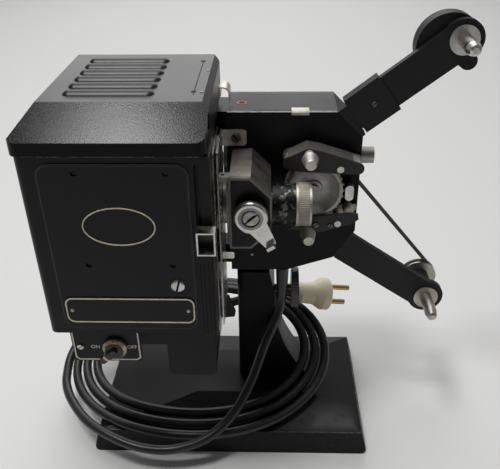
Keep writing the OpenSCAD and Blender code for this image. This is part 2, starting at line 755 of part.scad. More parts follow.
module at_louvres() for (i = [0 : louvres - 1])
    translate([louvre_x, louvre_y + (i - (louvres - 1) / 2) * louvre_pitch, roof_top]) children();

module roof_cap() color(black) {
    difference() {
        union() {
            difference() {
                roof_form(0, roof_z0);
                roof_form(roof_wall, roof_z0 - 1);
            }
            at_louvres() louvre_hood();
        }
        at_louvres() translate([-louvre_l / 2 + 2 * louvre_r, 1, -2 * roof_wall])
            cube([louvre_l - 4 * louvre_r, louvre_r, 2 * roof_wall + louvre_h / 2]);
    }
}

// A spring tongue on the roof's right side, bent down over the edge of the case
catch_y = 0;
catch_w = 12;
catch_t = 0.8;
catch_r = 4.2;
catch_rise = 7;
catch_reach = 2;
catch_lip = 4;

module roof_catch() color(nickel) {
    translate([roof_x1, catch_y, roof_z0 + 1]) cube([catch_t, catch_w, catch_rise - 1]);
    slab_y(catch_y, catch_w) {
        translate([roof_x1, roof_z0 + catch_rise - catch_t]) square([catch_reach, catch_t]);
        translate([roof_x1 + catch_reach, roof_z0 + catch_rise - catch_r]) {
            intersection() {
                difference() {
                    circle(catch_r);
                    circle(catch_r - catch_t);
                }
                square(catch_r);
            }
            translate([catch_r - catch_t, -catch_lip]) square([catch_t, catch_lip + eps]);
        }
    }
}

// The mains switch on its plate under the lamphouse
switch_x0 = -86.7;
switch_x1 = -47;
switch_y = -75;
switch_t = 1.5;
switch_drop = 24.4;
switch_corner = 2.5;
switch_x = -61.8;
switch_z = house_z0 - 13.7;
switch_knob_d = 14;
switch_pin_d = 5;

module switch_plate() color(black) difference() {
    slab_y(switch_y, switch_t) intersection() {
        round_box(switch_x0, house_z0 - switch_drop, switch_x1, house_z0 + 2 * switch_corner, switch_corner);
        translate([switch_x0, house_z0 - switch_drop]) square([switch_x1 - switch_x0, switch_drop]);
    }
    bar_y([switch_x, switch_y - 1, switch_z], switch_pin_d + 2 * run_fit, switch_t + 2);
}

module switch_knob() color(black) {
    spin_y([switch_x, switch_y - slip_gap - 4, switch_z]) polygon([[0, 0], [5, 0], [switch_knob_d / 2, 2],
        [switch_knob_d / 2, 4], [0, 4]]);
    bar_y([switch_x, switch_y - slip_gap, switch_z], switch_pin_d, switch_t + slip_gap + 2);
    slab_y(switch_y - slip_gap - 6, 2.5) link([switch_x, switch_z], [switch_x - 6.5, switch_z - 5.5], 4);
}

housing_x0 = -32;
housing_y0 = -74;
housing_y1 = -20;
housing_z0 = 92;
tray_x0 = -52;
tray_y0 = -62;
tray_z0 = 105;
pointer_t = 1.5;

module lower_housing() color(black) {
    slab_y(housing_y0, housing_y1 - housing_y0) {
        round_box(housing_x0, housing_z0, house_x1, house_z0, 4);
        translate([housing_x0, housing_z0 + 10]) square([house_x1 - housing_x0, house_z0 - housing_z0 - 10]);
    }
    translate([tray_x0, tray_y0, tray_z0])
        cube([housing_x0 - tray_x0, housing_y1 - tray_y0, house_z0 - tray_z0]);
    slab_y(housing_y1 - pointer_t, pointer_t) polygon([[house_x1 - eps, 93], [house_x1 - eps, plate_z0 - 0.4],
        [gate_x - 0.6, plate_z0 - 0.4], [gate_x - 0.6, plate_z0 + 3.6],
        [wheel_x, plate_z0 + 3.6], [wheel_x, 111],
        [0.8, 111], [4.8, 98], [4, 94]]);
}

// Lamp, mirror and condenser inside the lamphouse
holder_d = 22;
holder_h = 26;
bulb_d = 25;
bulb_z1 = 232;
condenser_d = 32;
condenser_l = 18;
lens_rim = 5;

module lamp_socket() color([0.70, 0.58, 0.32]) difference() {
    bar_z([socket_x, axis_y, house_z0 + house_wall], holder_d, holder_h);
    bar_z([socket_x, axis_y, house_z0 + house_wall + 4], holder_d - 4, holder_h);
}

module lamp_bulb() color([0.9, 0.9, 0.85, 0.4]) translate([socket_x, axis_y, house_z0 + house_wall + 4]) {
    neck = holder_d - 4 - 2 * run_fit;
    tip = bulb_z1 - house_z0 - 10;
    rotate_extrude() polygon([[0, 0], [neck / 2, 0], [neck / 2, holder_h], [bulb_d / 2, holder_h + 10],
        [bulb_d / 2, tip - 10], [bulb_d / 4, tip - 2], [0, tip]]);
}

mirror_r = 20;
mirror_x = house_x0 + house_wall;

module reflector() color([0.85, 0.85, 0.86]) {
    bar_x([mirror_x, axis_y, axis_z], 6, 6);
    spin_x([mirror_x + 5, axis_y, axis_z]) polygon([[0, 0], [8, 0.8], [14, 3], [mirror_r, 7], [mirror_r, 8.2],
        [14, 4.4], [8, 2.2], [0, 1.4]]);
}

module condenser_tube() color(nickel) spin_x([house_x1 - house_wall - condenser_l, axis_y, axis_z])
    polygon([[condenser_d / 2 - 1.5, 0], [condenser_d / 2, 0], [condenser_d / 2, condenser_l],
        [condenser_d / 2 - 3, condenser_l], [condenser_d / 2 - 3, condenser_l - 1.5],
        [condenser_d / 2 - 1.5, condenser_l - 1.5]]);

module condenser_lens() color([0.8, 0.9, 0.9, 0.4])
    spin_x([house_x1 - house_wall - condenser_l + 4, axis_y, axis_z])
    polygon([[0, 0], [8, 1], [condenser_d / 2 - 1.5, lens_rim - 2], [condenser_d / 2 - 1.5, lens_rim + 2],
        [0, lens_rim + 2]]);

// Gate block, cover, lever and lens

module block_outline(grow) polygon([[block_x0 - grow, axis_z - block_half - grow],
    [block_x1 - block_cut, axis_z - block_half - grow],
    [block_x1 + grow, axis_z - block_half + block_cut], [block_x1 + grow, axis_z + block_half - block_cut],
    [block_x1 - block_cut, axis_z + block_half + grow], [block_x0 - grow, axis_z + block_half + grow]]);

lever_x = 16.5;
lever_z = axis_z + 1.7;
lever_screw_d = 5;
screw_seat = 0.5;
lens_seat = 13;
gate_rail = 2;
guide_l = 5.5;
guide_d = 6;
guide_t = 3;

module gate_block() color([0.62, 0.60, 0.55]) difference() {
    union() {
        slab_y(block_y0 + cover_t, case_y0 - block_y0 - cover_t) block_outline(0);
        translate([block_x0 - gate_rail, block_y0 + cover_t, axis_z - block_half + 1])
            cube([gate_rail + eps, guide_d, 2 * block_half - 2]);
        translate([block_x0 - guide_l, block_y0 + cover_t, axis_z + block_half - guide_t])
            cube([guide_l + eps, guide_d, guide_t]);
    }
    bar_z([block_x0 - guide_l / 2 - 1, block_y0 + cover_t + guide_d / 2,
        axis_z + block_half - guide_t - 1], 2,
        guide_t + 2);
    bar_x([lens_seat, axis_y, axis_z], lens_tube_d + 2 * run_fit, block_x1);
    bar_x([block_x0 - 1, axis_y, axis_z], 9, block_x1);
    bar_x([block_x0 - 1, shutter_y, shutter_z], hub_d + 2 * run_fit, hub_seat + 1);
    bar_y([lever_x, block_y0, lever_z], lever_screw_d, cover_t + screw_seat);
}

// The lever turns on a boss of the cover and is held by a shouldered screw, sunk in its front
boss_d = 13;
boss_t = 4.5;
lever_d = 19;
lever_t = 3.3;
lever_plate = 2.2;
lever_reach = 20;
lever_drop = 57;
lever_tip = 3.4;
lever_y = block_y0 - boss_t - slip_gap;
head_d = 10;
head_t = 1.3;
slot_turn = 40;

module gate_cover() color(black) difference() {
    union() {
        slab_y(block_y0, cover_t) block_outline(0.6);
        bar_y([lever_x, block_y0 - boss_t, lever_z], boss_d, boss_t + eps);
    }
    bar_y([lever_x, block_y0 - boss_t - 1, lever_z], lever_screw_d, boss_t + cover_t + 2);
}

module gate_lever() color(nickel) difference() {
    union() {
        spin_y([lever_x, lever_y - lever_t, lever_z]) polygon([[0, 0], [lever_d / 2 - 1.2, 0],
            [lever_d / 2 - 0.35, 0.35], [lever_d / 2, 1.2], [lever_d / 2, lever_t], [0, lever_t]]);
        translate([lever_x, 0, lever_z]) rotate([0, lever_drop, 0]) {
            slab_y(lever_y - lever_plate, lever_plate) polygon([[0, 2.5 - lever_d / 2],
                [lever_reach, -lever_tip], [lever_reach + 1.2, 1 - lever_tip],
                [lever_reach + 1.2, lever_tip - 1], [lever_reach, lever_tip],
                [0, lever_d / 2 - 2.5]]);
            translate([lever_reach - 0.8, lever_y - lever_plate - 4, 1 - lever_tip])
                cube([2, 4 + eps, 2 * lever_tip - 2]);
        }
    }
    bar_y([lever_x, lever_y - 2 * lever_t, lever_z], lever_screw_d + 2 * run_fit, 3 * lever_t);
    bar_y([lever_x, lever_y - lever_t - 1, lever_z], head_d + 2 * slip_gap, 1 + head_t + slip_gap);
}

module lever_screw() color(nickel) difference() {
    union() {
        bar_y([lever_x, lever_y - lever_t, lever_z], head_d, head_t);
        bar_y([lever_x, lever_y - lever_t, lever_z], lever_screw_d,
            lever_t + slip_gap + boss_t + cover_t + screw_seat);
    }
    translate([lever_x, lever_y - lever_t, lever_z]) rotate([0, slot_turn, 0])
        translate([-head_d, -1, -0.6]) cube([2 * head_d, 1.8, 1.2]);
}

lens_x0 = block_x1 + 1;
lens_x1 = 41.5;
lens_end = 50;
lens_bore = 14;
ring_seat_d = 21;
glass_t = 4;

module lens_barrel() color(black) spin_x([lens_seat + 0.5, axis_y, axis_z]) polygon([[lens_bore / 2, 0],
    [lens_tube_d / 2, 0], [lens_tube_d / 2, lens_x0 - lens_seat - 0.5],
    [lens_d / 2, lens_x0 - lens_seat - 0.5],
    [lens_d / 2, lens_x1 - lens_seat - 0.5], [ring_seat_d / 2, lens_x1 - lens_seat - 0.5],
    [ring_seat_d / 2, lens_end - lens_seat - 1.5], [lens_bore / 2, lens_end - lens_seat - 1.5]]);

// The ring has a fine knurl between two plain rims
ring_l = lens_end - lens_x1;
ring_rim = 1.5;

module lens_ring() color(nickel) translate([lens_x1, axis_y, axis_z]) rotate([0, 90, 0]) difference() {
    union() {
        for (x = [0, ring_l - ring_rim]) translate([0, 0, x]) cylinder(d = lens_ring_d, h = ring_rim);
        translate([0, 0, ring_rim - eps])
            knurled(lens_ring_d - 0.4, ring_l - 2 * ring_rim + 2 * eps, 72, 0.25);
    }
    translate([0, 0, -1]) cylinder(d = ring_seat_d, h = lens_end);
}

module lens_glass() color([0.7, 0.8, 0.9, 0.4]) spin_x([lens_end - 8, axis_y, axis_z])
    polygon([[0, 0], [lens_bore / 2, 1], [lens_bore / 2, glass_t], [0, glass_t + 1.5]]);

// Sprocket and its shaft

tooth_h = 1;
tooth_w = 1.2;
rim_t = 1.8;
dish = 4;

boss_r = shaft_d / 2 + 2.5;
dish_r = sprocket_r - rim_t;
dish_steps = 8;

// The front is dished in one smooth sweep from the rim to the boss
module sprocket() color(grey) {
    spin_y([sprocket_x, sprocket_y0, axis_z]) polygon(concat(
        [[shaft_d / 2, sprocket_w], [shaft_d / 2, dish - 1], [boss_r - 0.5, dish - 1]],
        [for (i = [0 : dish_steps]) let (u = i / dish_steps)
            [boss_r + (dish_r - boss_r) * u, dish * (1 - u * u)]],
        [[sprocket_r, 0], [sprocket_r, 2.4], [sprocket_r - 0.8, 2.8], [sprocket_r - 0.8, sprocket_w - 2],
        [sprocket_r, sprocket_w - 1.6], [sprocket_r, sprocket_w]]));
    for (i = [0 : sprocket_teeth - 1])
        translate([sprocket_x, 0, axis_z]) rotate([0, i * 360 / sprocket_teeth, 0])
        slab_y(sprocket_y0 + 0.8, tooth_w) polygon([[sprocket_r - 0.5, -0.7], [sprocket_r + tooth_h, -0.35],
            [sprocket_r + tooth_h, 0.35], [sprocket_r - 0.5, 0.7]]);
}

worm_wheel_r = main_z - axis_z - worm_d / 2 - slip_gap;
worm_wheel_w = 5;

module sprocket_shaft() color(nickel) {
    bar_y([sprocket_x, sprocket_y0 + 1, axis_z], shaft_d, case_y1 - sprocket_y0 - 1);
    bar_y([sprocket_x, main_y - worm_wheel_w / 2, axis_z], 2 * worm_wheel_r, worm_wheel_w, $fn = 96);
    translate([sprocket_x, belt_y + pulley_w / 2, axis_z]) rotate([90, 0, 0]) pulley(drive_r, pulley_w);
}

// Film shoes: two cheeks and a bent web, swung on posts beside the sprocket
post_d = 4;
shoe_pivot_x = sprocket_x + 14.5;
shoe_pivot_up = 15;
roller_d = 6;
cheek_t = 1.2;
cheek_y0 = sprocket_y0 - slip_gap - cheek_t - 0.7;
cheek_y1 = sprocket_y0 + sprocket_w + slip_gap + 0.7;
guide_x = 74;
guide_out = 9;
guide_z = axis_z - 3.5;
// The lower shoe's pivot about the sprocket's axis
low_pivot = [14.9, -20.6];
post_places = [[shoe_pivot_x, axis_z + shoe_pivot_up], [sprocket_x + low_pivot[0], axis_z + low_pivot[1]],
    [guide_x, guide_z]];

// Outline of the upper shoe's cheek about the sprocket's axis
module cheek_outline() difference() {
    union() {
        polygon([[-14, 14], [-15.5, 22], [-4.5, 27.5], [3, 26], [24.5, 19], [26.5, 15], [24, 11.8], [0, 13]]);
        translate([-14, 18.5]) circle(4.2);
        translate([24.5, 15.3]) circle(3.5);
    }
    translate([shoe_pivot_x - sprocket_x, shoe_pivot_up]) circle(post_d / 2 + run_fit);
}

// The lower shoe is slimmer, and its left end comes to a point
module low_cheek_outline() difference() {
    union() {
        polygon([[-14.9, -24.5], [-0.6, -16.4], [18.6, -13.6], [26.6, -14], [27.3, -17.7], [23.9, -20.5],
            [4.8, -26.8]]);
        translate([-8.5, -20]) circle(3.2);
    }
    translate(low_pivot) circle(post_d / 2 + run_fit);
}

// The cheek's outline is the first child and the web's outline the second
module shoe() {
    for (y = [cheek_y0, cheek_y1]) slab_y(y, cheek_t) children(0);
    slab_y(cheek_y0 + cheek_t - eps, cheek_y1 - cheek_y0 - cheek_t + 2 * eps) children(1);
}

shoe_pin_l = 15;

module shoe_rollers(places, pin) {
    for (p = places) bar_y([p[0], cheek_y0 + cheek_t, p[1]], roller_d, cheek_y1 - cheek_y0 - cheek_t);
    spin_y([pin[0], cheek_y0 - shoe_pin_l, pin[1]]) polygon([[0, 0], [2.8, 0], [3.2, 0.6], [4.2, 6.5],
        [4.6, 8], [3.4, 10], [2.8, shoe_pin_l], [0, shoe_pin_l]]);
}

module at_sprocket() translate([sprocket_x, 0, axis_z]) children();

module upper_shoe() color(black) at_sprocket() shoe() {
    cheek_outline();
    polygon([[-15.5, 22], [-4.5, 27.5], [3, 26], [22, 19.8], [21.5, 18.6], [3, 24.7], [-4.3, 26.1],
        [-14.6, 20.8]]);
}

module lower_shoe() color(black) at_sprocket() shoe() {
    low_cheek_outline();
    polygon([[-14.9, -24.5], [4.8, -26.8], [11.5, -24.6], [11.2, -23.5], [4.8, -25.6], [-13, -23.5]]);
}

module upper_rollers() color(grey) at_sprocket() shoe_rollers([[-14, 17.6], [23.8, 15.2]], [-3.5, 24.3]);
module lower_rollers() color(grey) at_sprocket() shoe_rollers([[-8.5, -20], [21.5, -15.1]], [-3, -24]);

module film_posts() color(nickel) {
    for (i = [0, 1])
        bar_y([post_places[i][0], cheek_y0 - 0.6, post_places[i][1]], post_d, case_in_y0 - cheek_y0 + 0.6);
    bar_y([guide_x, case_y0 - guide_out, guide_z], post_d, guide_out + case_wall);
    slab_y(case_y0 - guide_out, 4) link([guide_x, guide_z - 2.5], [guide_x, guide_z + 2.5], 5);
}

// The arms

arm_root = [72.5, 226.5];
upper_at = [upper_x, upper_z];
lower_at = [lower_x, lower_z];
arm_run = unit(upper_at - arm_root);
arm_len = norm(upper_at - arm_root);
arm_angle = atan2(arm_run[1], arm_run[0]);
socket_l = 21;
socket_w = 23.5;
socket_wall = 1.5;
socket_start = 5;
arm_gap = 0.2;
arm_y0 = case_y0 + 0.5;
socket_y0 = arm_y0 - socket_wall - arm_gap;
socket_d = arm_t + 2 * socket_wall + 2 * arm_gap;
flange_l = 20;
flange_t = 2.2;
flange_bed = 1;
neck_l = 3.2;
neck_inset = 0.6;
neck_side = 3.5;

// Places along the upper arm, from its root
module on_arm() translate([arm_root[0], 0, arm_root[1]]) rotate([0, -arm_angle, 0]) children();

// The socket stands by a neck on a flange along the cut top corner of the case
module arm_socket() color(black) difference() {
    union() {
        on_arm() difference() {
            translate([neck_l, socket_y0, -socket_w / 2])
                cube([socket_start + socket_l - neck_l, socket_d, socket_w]);
            translate([socket_start + 2, arm_y0 - arm_gap, -arm_w / 2 - arm_gap])
                cube([socket_l, arm_t + 2 * arm_gap, arm_w + 2 * arm_gap]);
        }
        on_arm() translate([-flange_l / 2, socket_y0 + neck_inset, -socket_w / 2 + neck_side])
            cube([flange_l / 2 + neck_l + eps, socket_d - 2 * neck_inset, socket_w - 2 * neck_side]);
        slab_y(socket_y0 + neck_inset / 2, socket_d - neck_inset)
            translate([case_x1 - corner_top / 2, case_z1 - corner_top / 2])
                rotate(-45) translate([-flange_l / 2, -flange_bed])
                    square([flange_l, flange_t + flange_bed]);
    }
    slab_y(case_y0 - 3, case_d + 6) case_outline(0);
}

module upper_arm() color(black) difference() {
    on_arm() slab_y(arm_y0, arm_t) {
        translate([socket_start + 2.5, -arm_w / 2]) square([arm_len - socket_start - 2.5, arm_w]);
        translate([arm_len, 0]) circle(arm_w / 2 + 1);
    }
    bar_y([upper_x, arm_y0 - 1, upper_z], spindle_d + 2 * run_fit, arm_t + 2);
}

collar_d = 16;
collar_t = 1.2;

module reel_spindle(l) rotate_extrude() polygon([[0, 0], [spindle_d / 2 - 2.2, 0], [spindle_d / 2 - 1, 0.8],
    [spindle_d / 2, 5], [spindle_d / 2, spindle_l - 1], [spindle_d / 2, spindle_l], [collar_d / 2, spindle_l],
    [collar_d / 2, spindle_l + collar_t], [spindle_d / 2, spindle_l + collar_t], [spindle_d / 2, l], [0, l]]);

spindle_y0 = arm_y0 - slip_gap - collar_t - spindle_l;

module upper_spindle() color(nickel) translate([upper_x, spindle_y0, upper_z]) rotate([-90, 0, 0])
    reel_spindle(arm_y0 + arm_t + 3 - spindle_y0);

rewind_back = 7.8;
rewind_y0 = arm_y0 + arm_t;
rewind_t = 9;
crank_t = 3;
crank_l = 18;
crank_drop = 74;

module on_rewind() on_arm() translate([arm_len - rewind_back, 0, 0]) children();

module rewind_cover() color(black) difference() {
    on_rewind() difference() {
        bar_y([0, rewind_y0, 0], 2 * rewind_r, rewind_t);
        translate([-2 * rewind_r, rewind_y0 - 1, -3 * rewind_r - arm_w / 2 + 1])
            cube([4 * rewind_r, rewind_t + 2, 3 * rewind_r]);
        bar_y([0, rewind_y0 - 1, 0], 5 + 2 * run_fit, rewind_t + 2);
    }
    bar_y([upper_x, rewind_y0 - 1, upper_z], spindle_d + 2, 5);
}

module rewind_crank() color(black) on_rewind() {
    bar_y([0, rewind_y0 + 2, 0], 5, rewind_t + slip_gap - 1);
    rotate([0, crank_drop, 0])
        slab_y(rewind_y0 + rewind_t + slip_gap, crank_t) link([0, 0], [crank_l, 0], 10);
}

low_root = [76, 139.5];

module lower_arm() color(black) difference() {
    union() {
        difference() {
            slab_y(arm_y0, arm_t) {
                link(low_root, lower_at, arm_w);
                translate(lower_at) circle(arm_w / 2 + 1.5);
            }
            slab_y(case_y0 - 5, case_d + 6) case_outline(0);
        }
        bar_y([lower_x, arm_y0 + arm_t, lower_z], 13, belt_y - pulley_w / 2 - slip_gap - arm_y0 - arm_t);
    }
    bar_y([lower_x, arm_y0 - 1, lower_z], spindle_d + 2 * run_fit, case_d);
}

module lower_spindle() color(nickel) {
    translate([lower_x, spindle_y0, lower_z])
        rotate([-90, 0, 0]) reel_spindle(belt_y + pulley_w / 2 - spindle_y0);
    translate([lower_x, belt_y + pulley_w / 2, lower_z]) rotate([90, 0, 0]) pulley(takeup_r, pulley_w);
}

base_casting();
base_plate();
column();
tilt_pin();
tilt_knob();
cord_hook();
cord_lead();
cord_coil();
cord_tail();
plug_body();
plug_pins();
cord_gland();
mechanism_case();
face_plate();
back_cover();
head_screws();
tilt_tongue();
shutter_plate();
gate_plate();
lamphouse();
front_panel();
frame_slider();
roof_cap();
roof_catch();
switch_plate();
switch_knob();
lower_housing();
lamp_socket();
lamp_bulb();
reflector();
condenser_tube();
condenser_lens();
gate_block();
gate_cover();
gate_lever();
lever_screw();
lens_barrel();
lens_ring();
lens_glass();
sprocket();
sprocket_shaft();
upper_shoe();
upper_rollers();
lower_shoe();
lower_rollers();
film_posts();
bushings();
main_shaft();
hand_knob();
shutter();
motor();
motor_rotor();
belts();
arm_socket();
upper_arm();
upper_spindle();
rewind_cover();
rewind_crank();
lower_arm();
lower_spindle();
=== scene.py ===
# %% [markdown]
# A small-gauge film projector: a black lamphouse beside a film drive, two reel arms, and a cast stand with
# its mains cord lying in a loose coil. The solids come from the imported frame, in metres, and this lesson
# dresses them: it sets the camera, gives each surface its finish, lays the cord and adds the small fittings.

# %% Load the frame
import math

import bmesh
import bpy
from mathutils import Matrix, Vector


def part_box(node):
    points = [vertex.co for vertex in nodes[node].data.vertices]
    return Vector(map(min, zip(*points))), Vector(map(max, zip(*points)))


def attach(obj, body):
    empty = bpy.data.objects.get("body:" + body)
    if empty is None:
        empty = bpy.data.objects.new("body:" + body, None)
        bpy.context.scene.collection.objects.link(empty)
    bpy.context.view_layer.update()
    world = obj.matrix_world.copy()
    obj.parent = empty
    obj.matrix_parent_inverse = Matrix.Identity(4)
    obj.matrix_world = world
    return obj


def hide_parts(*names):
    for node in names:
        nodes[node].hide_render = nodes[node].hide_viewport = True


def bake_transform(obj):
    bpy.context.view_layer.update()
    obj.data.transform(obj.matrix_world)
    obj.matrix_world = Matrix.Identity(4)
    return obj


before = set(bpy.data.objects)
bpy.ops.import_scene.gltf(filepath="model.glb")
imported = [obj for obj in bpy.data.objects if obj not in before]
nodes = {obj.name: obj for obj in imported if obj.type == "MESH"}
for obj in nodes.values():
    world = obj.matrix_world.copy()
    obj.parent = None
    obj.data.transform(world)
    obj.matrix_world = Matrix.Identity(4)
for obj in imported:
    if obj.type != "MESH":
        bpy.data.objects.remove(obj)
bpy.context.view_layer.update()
MM = 0.001
scene = bpy.context.scene
scene.view_settings.view_transform = "Standard"

# %% [markdown]
# The camera stands a little above the table and to the right of the lamphouse, looking down. Its place was
# worked out from known sizes on the object, so the picture frames the part as the photograph does.

# %% Camera
CAMERA_AT = Vector((26, -347, 357)) * MM
PITCH, YAW, ROLL = (math.radians(a) for a in (31.43, 1.95, 0.757))
FOCAL_PX = 625.5
PHOTO_W = 500
SENSOR = 36.0


def camera_axes():
    right = Vector((math.cos(YAW), math.sin(YAW), 0))
    level = math.cos(PITCH)
    ahead = Vector((-math.sin(YAW) * level, math.cos(YAW) * level, -math.sin(PITCH)))
    down = ahead.cross(right)
    turned_right = math.cos(ROLL) * right + math.sin(ROLL) * down
    turned_down = -math.sin(ROLL) * right + math.cos(ROLL) * down
    return turned_right, -turned_down, -ahead


camera_data = bpy.data.cameras.new("camera")
camera_data.sensor_fit = "HORIZONTAL"
camera_data.sensor_width = SENSOR
camera_data.lens = FOCAL_PX / PHOTO_W * SENSOR
camera_data.clip_start = 10 * MM
camera = bpy.data.objects.new("camera", camera_data)
turn = Matrix(camera_axes()).transposed().to_4x4()
camera.matrix_world = Matrix.Translation(CAMERA_AT) @ turn
scene.collection.objects.link(camera)
scene.camera = camera
print("lens mm", round(camera_data.lens, 2))

# %% [markdown]
# A finish is a small tree of shader nodes. Arithmetic on sockets reads best as plain expressions, so one
# small class wraps a socket and adds a Math node for each operator.

# %% Arithmetic on sockets


class Wire:
    def __init__(self, tree, socket):
        self.tree = tree
        self.socket = socket

    def maths(self, operation, first, second=None):
        node = self.tree.nodes.new("ShaderNodeMath")
        node.operation = operation
        for socket, value in zip(node.inputs, (first, second)):
            if isinstance(value, Wire):
                self.tree.links.new(value.socket, socket)
            elif value is not None:
                socket.default_value = value
        return Wire(self.tree, node.outputs[0])

    def __add__(self, other):
        return self.maths("ADD", self, other)

    def __radd__(self, other):
        return self.maths("ADD", other, self)

    def __sub__(self, other):
        return self.maths("SUBTRACT", self, other)

    def __rsub__(self, other):
        return self.maths("SUBTRACT", other, self)

    def __mul__(self, other):
        return self.maths("MULTIPLY", self, other)

    def __rmul__(self, other):
        return self.maths("MULTIPLY", other, self)

    def __abs__(self):
        return self.maths("ABSOLUTE", self)

    def root(self):
        return self.maths("SQRT", self)

    def least(self, other):
        return self.maths("MINIMUM", self, other)

    def most(self, other):
        return self.maths("MAXIMUM", self, other)


print("socket arithmetic ready")

# %% [markdown]
# The other half of the helper makes any node from its type, its settings and its sockets, and closes the tree
# with one Principled shader, or with a mask that picks one of two. Every pattern reads Object coordinates,
# which are metres on the real part.

# %% Finishes
MIX_FACTOR, MIX_FIRST, MIX_SECOND, MIX_RESULT = 0, 6, 7, 2


class Finish:
    def __init__(self, name):
        self.material = bpy.data.materials.new(name)
        self.material.use_nodes = True
        self.tree = self.material.node_tree
        self.tree.nodes.clear()
        self.place = self.wire("ShaderNodeTexCoord", out="Object")

    def node(self, kind, settings=None, **sockets):
        made = self.tree.nodes.new(kind)
        for key, value in (settings or {}).items():
            setattr(made, key, value)
        for key, value in sockets.items():
            socket = made.inputs[key.replace("_", " ")]
            if isinstance(value, Wire):
                self.tree.links.new(value.socket, socket)
            else:
                socket.default_value = value
        return made

    def wire(self, kind, settings=None, out=0, **sockets):
        return Wire(self.tree, self.node(kind, settings, **sockets).outputs[out])

    def noise(self, scale, detail=3.0, rough=0.5, place=None):
        return self.wire("ShaderNodeTexNoise", Vector=place or self.place, Scale=scale, Detail=detail,
                         Roughness=rough)

    def stretched(self, x, y, z):
        return self.wire("ShaderNodeMapping", Vector=self.place, Scale=(x, y, z))

    def axes(self):
        split = self.node("ShaderNodeSeparateXYZ", Vector=self.place)
        return [Wire(self.tree, split.outputs[i]) for i in range(3)]

    def ramp(self, value, low, high):
        return self.wire("ShaderNodeMapRange", {"clamp": True}, Value=value, From_Min=low, From_Max=high)

    def mix(self, factor, first, second):
        made = self.node("ShaderNodeMix", {"data_type": "RGBA"})
        for index, value in ((MIX_FACTOR, factor), (MIX_FIRST, first), (MIX_SECOND, second)):
            if isinstance(value, Wire):
                self.tree.links.new(value.socket, made.inputs[index])
            elif index == MIX_FACTOR:
                made.inputs[index].default_value = value
            else:
                made.inputs[index].default_value = (*value, 1)
        return Wire(self.tree, made.outputs[MIX_RESULT])

    def bump(self, height, depth):
        return self.wire("ShaderNodeBump", Height=height, Distance=depth, Strength=1.0)

    def shader(self, colour, rough, **sockets):
        base = {"Base_Color": colour if isinstance(colour, Wire) else (*colour, 1), "Roughness": rough}
        return self.wire("ShaderNodeBsdfPrincipled", **base, **sockets)

    def either(self, mask, first, second):
        made = self.node("ShaderNodeMixShader")
        for socket, value in zip(made.inputs, (mask, first, second)):
            self.tree.links.new(value.socket, socket)
        return Wire(self.tree, made.outputs[0])

    def output(self, shader):
        out = self.node("ShaderNodeOutputMaterial")
        self.tree.links.new(shader.socket, out.inputs[0])
        return self.material

    def close(self, colour, rough, **sockets):
        return self.output(self.shader(colour, rough, **sockets))


def dress(node, material):
    slots = nodes[node].data.materials
    slots.clear()
    slots.append(material)


print("finish helper ready")

# %% [markdown]
# Lacquer wears to bare metal along its edges. On a box-like piece an edge is where two of the three distances
# to its faces are small at once. On a plate with a straight-sided outline it is where the smallest distance
# to its sides is close to zero. Round the foot of the stand it is simply a height. On the front panel there
# is no wear: a paler line that follows the rounded step is a painted highlight, where the step catches light.

# %% Where lacquer wears, and where a highlight is painted
FRAY_SCALE, FRAY = 260, 1.6
WORN_OUT, STILL_WHOLE = 0.75, 1.15
STEP_INSET, STEP_LINE, STEP_FADE = 0.45, 0.2, 0.7


def ragged(f, distance, reach):
    frayed = distance + f.noise(FRAY_SCALE, 4, 0.65) * reach * FRAY
    return f.ramp(frayed, reach * STILL_WHOLE, reach * WORN_OUT)


def box_edges(node, reach):
    low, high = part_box(node)

    def wear(f):
        gaps = [(v - low[i]).least(high[i] - v) for i, v in enumerate(f.axes())]
        near = gaps[0].most(gaps[1]).least(gaps[1].most(gaps[2])).least(gaps[0].most(gaps[2]))
        return ragged(f, near, reach * MM)

    return wear


def outline_edges(points, reach):
    def wear(f):
        x, _, z = f.axes()
        inside = None
        for (x0, z0), (x1, z1) in zip(points, points[1:] + points[:1]):
            length = math.hypot(x1 - x0, z1 - z0)
            side = (x - x0 * MM) * (-(z1 - z0) / length) + (z - z0 * MM) * ((x1 - x0) / length)
            inside = side if inside is None else inside.least(side)
        return ragged(f, inside, reach * MM)

    return wear


def height_edge(height, reach):
    def wear(f):
        return ragged(f, abs(f.axes()[2] - height * MM), reach * MM)

    return wear


# A painted highlight: a paler line along the front panel's rounded step, where the step catches light.
def step_highlight(node, corner):
    low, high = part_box(node)

    def line(f):
        x, _, z = f.axes()
        over = []
        for value, i in ((x, 0), (z, 2)):
            middle, half = (low[i] + high[i]) / 2, (high[i] - low[i]) / 2
            over.append(abs(value - middle) - (half - corner * MM))
        beyond = [v.most(0) for v in over]
        edge = (beyond[0] * beyond[0] + beyond[1] * beyond[1]).root() + over[0].most(over[1]).least(0)
        return f.ramp(abs(edge - (corner - STEP_INSET) * MM), STEP_FADE * MM, STEP_LINE * MM)

    return line


# Three of these are wear. The line on the front panel's step is a painted highlight.
print("four kinds of worn edge")

# %% [markdown]
# Most of the machine is black lacquer on sheet or castings. It is nearly even, with a faint cloud of dust and
# a soft gloss that shows the lights above as pale sheets on the upward faces. The reflection is kept weak, as
# on old lacquer, so the faces towards the camera stay truly black. The lens barrel is chipped. The right
# front hip of the stand is painted paler in a broken patch, which is partly dust and partly painted sheen
# from the light above.

# %% Lacquer
BLACK = (0.0035, 0.0037, 0.0042)
DUST = (0.16, 0.155, 0.145)
# Pale grey for painted highlights, sheen and glints, and for the dust on the stand's hip.
SHEEN_AND_DUST = (0.055, 0.055, 0.057)
BARE = (0.24, 0.23, 0.21)
EDGE_BARE = 0.6
BARE_METAL = 0.8
ORANGE_PEEL = 0.012 * MM
HIP_FADES = ((25, 60), (-25, -40), (16.5, 18))


def chipped(f, share):
    flakes = f.ramp(f.noise(300, 6, 0.7), 0.52, 0.57)
    patches = f.ramp(f.noise(90, 3, 0.6), 0.38, 0.52)
    return flakes * patches * share


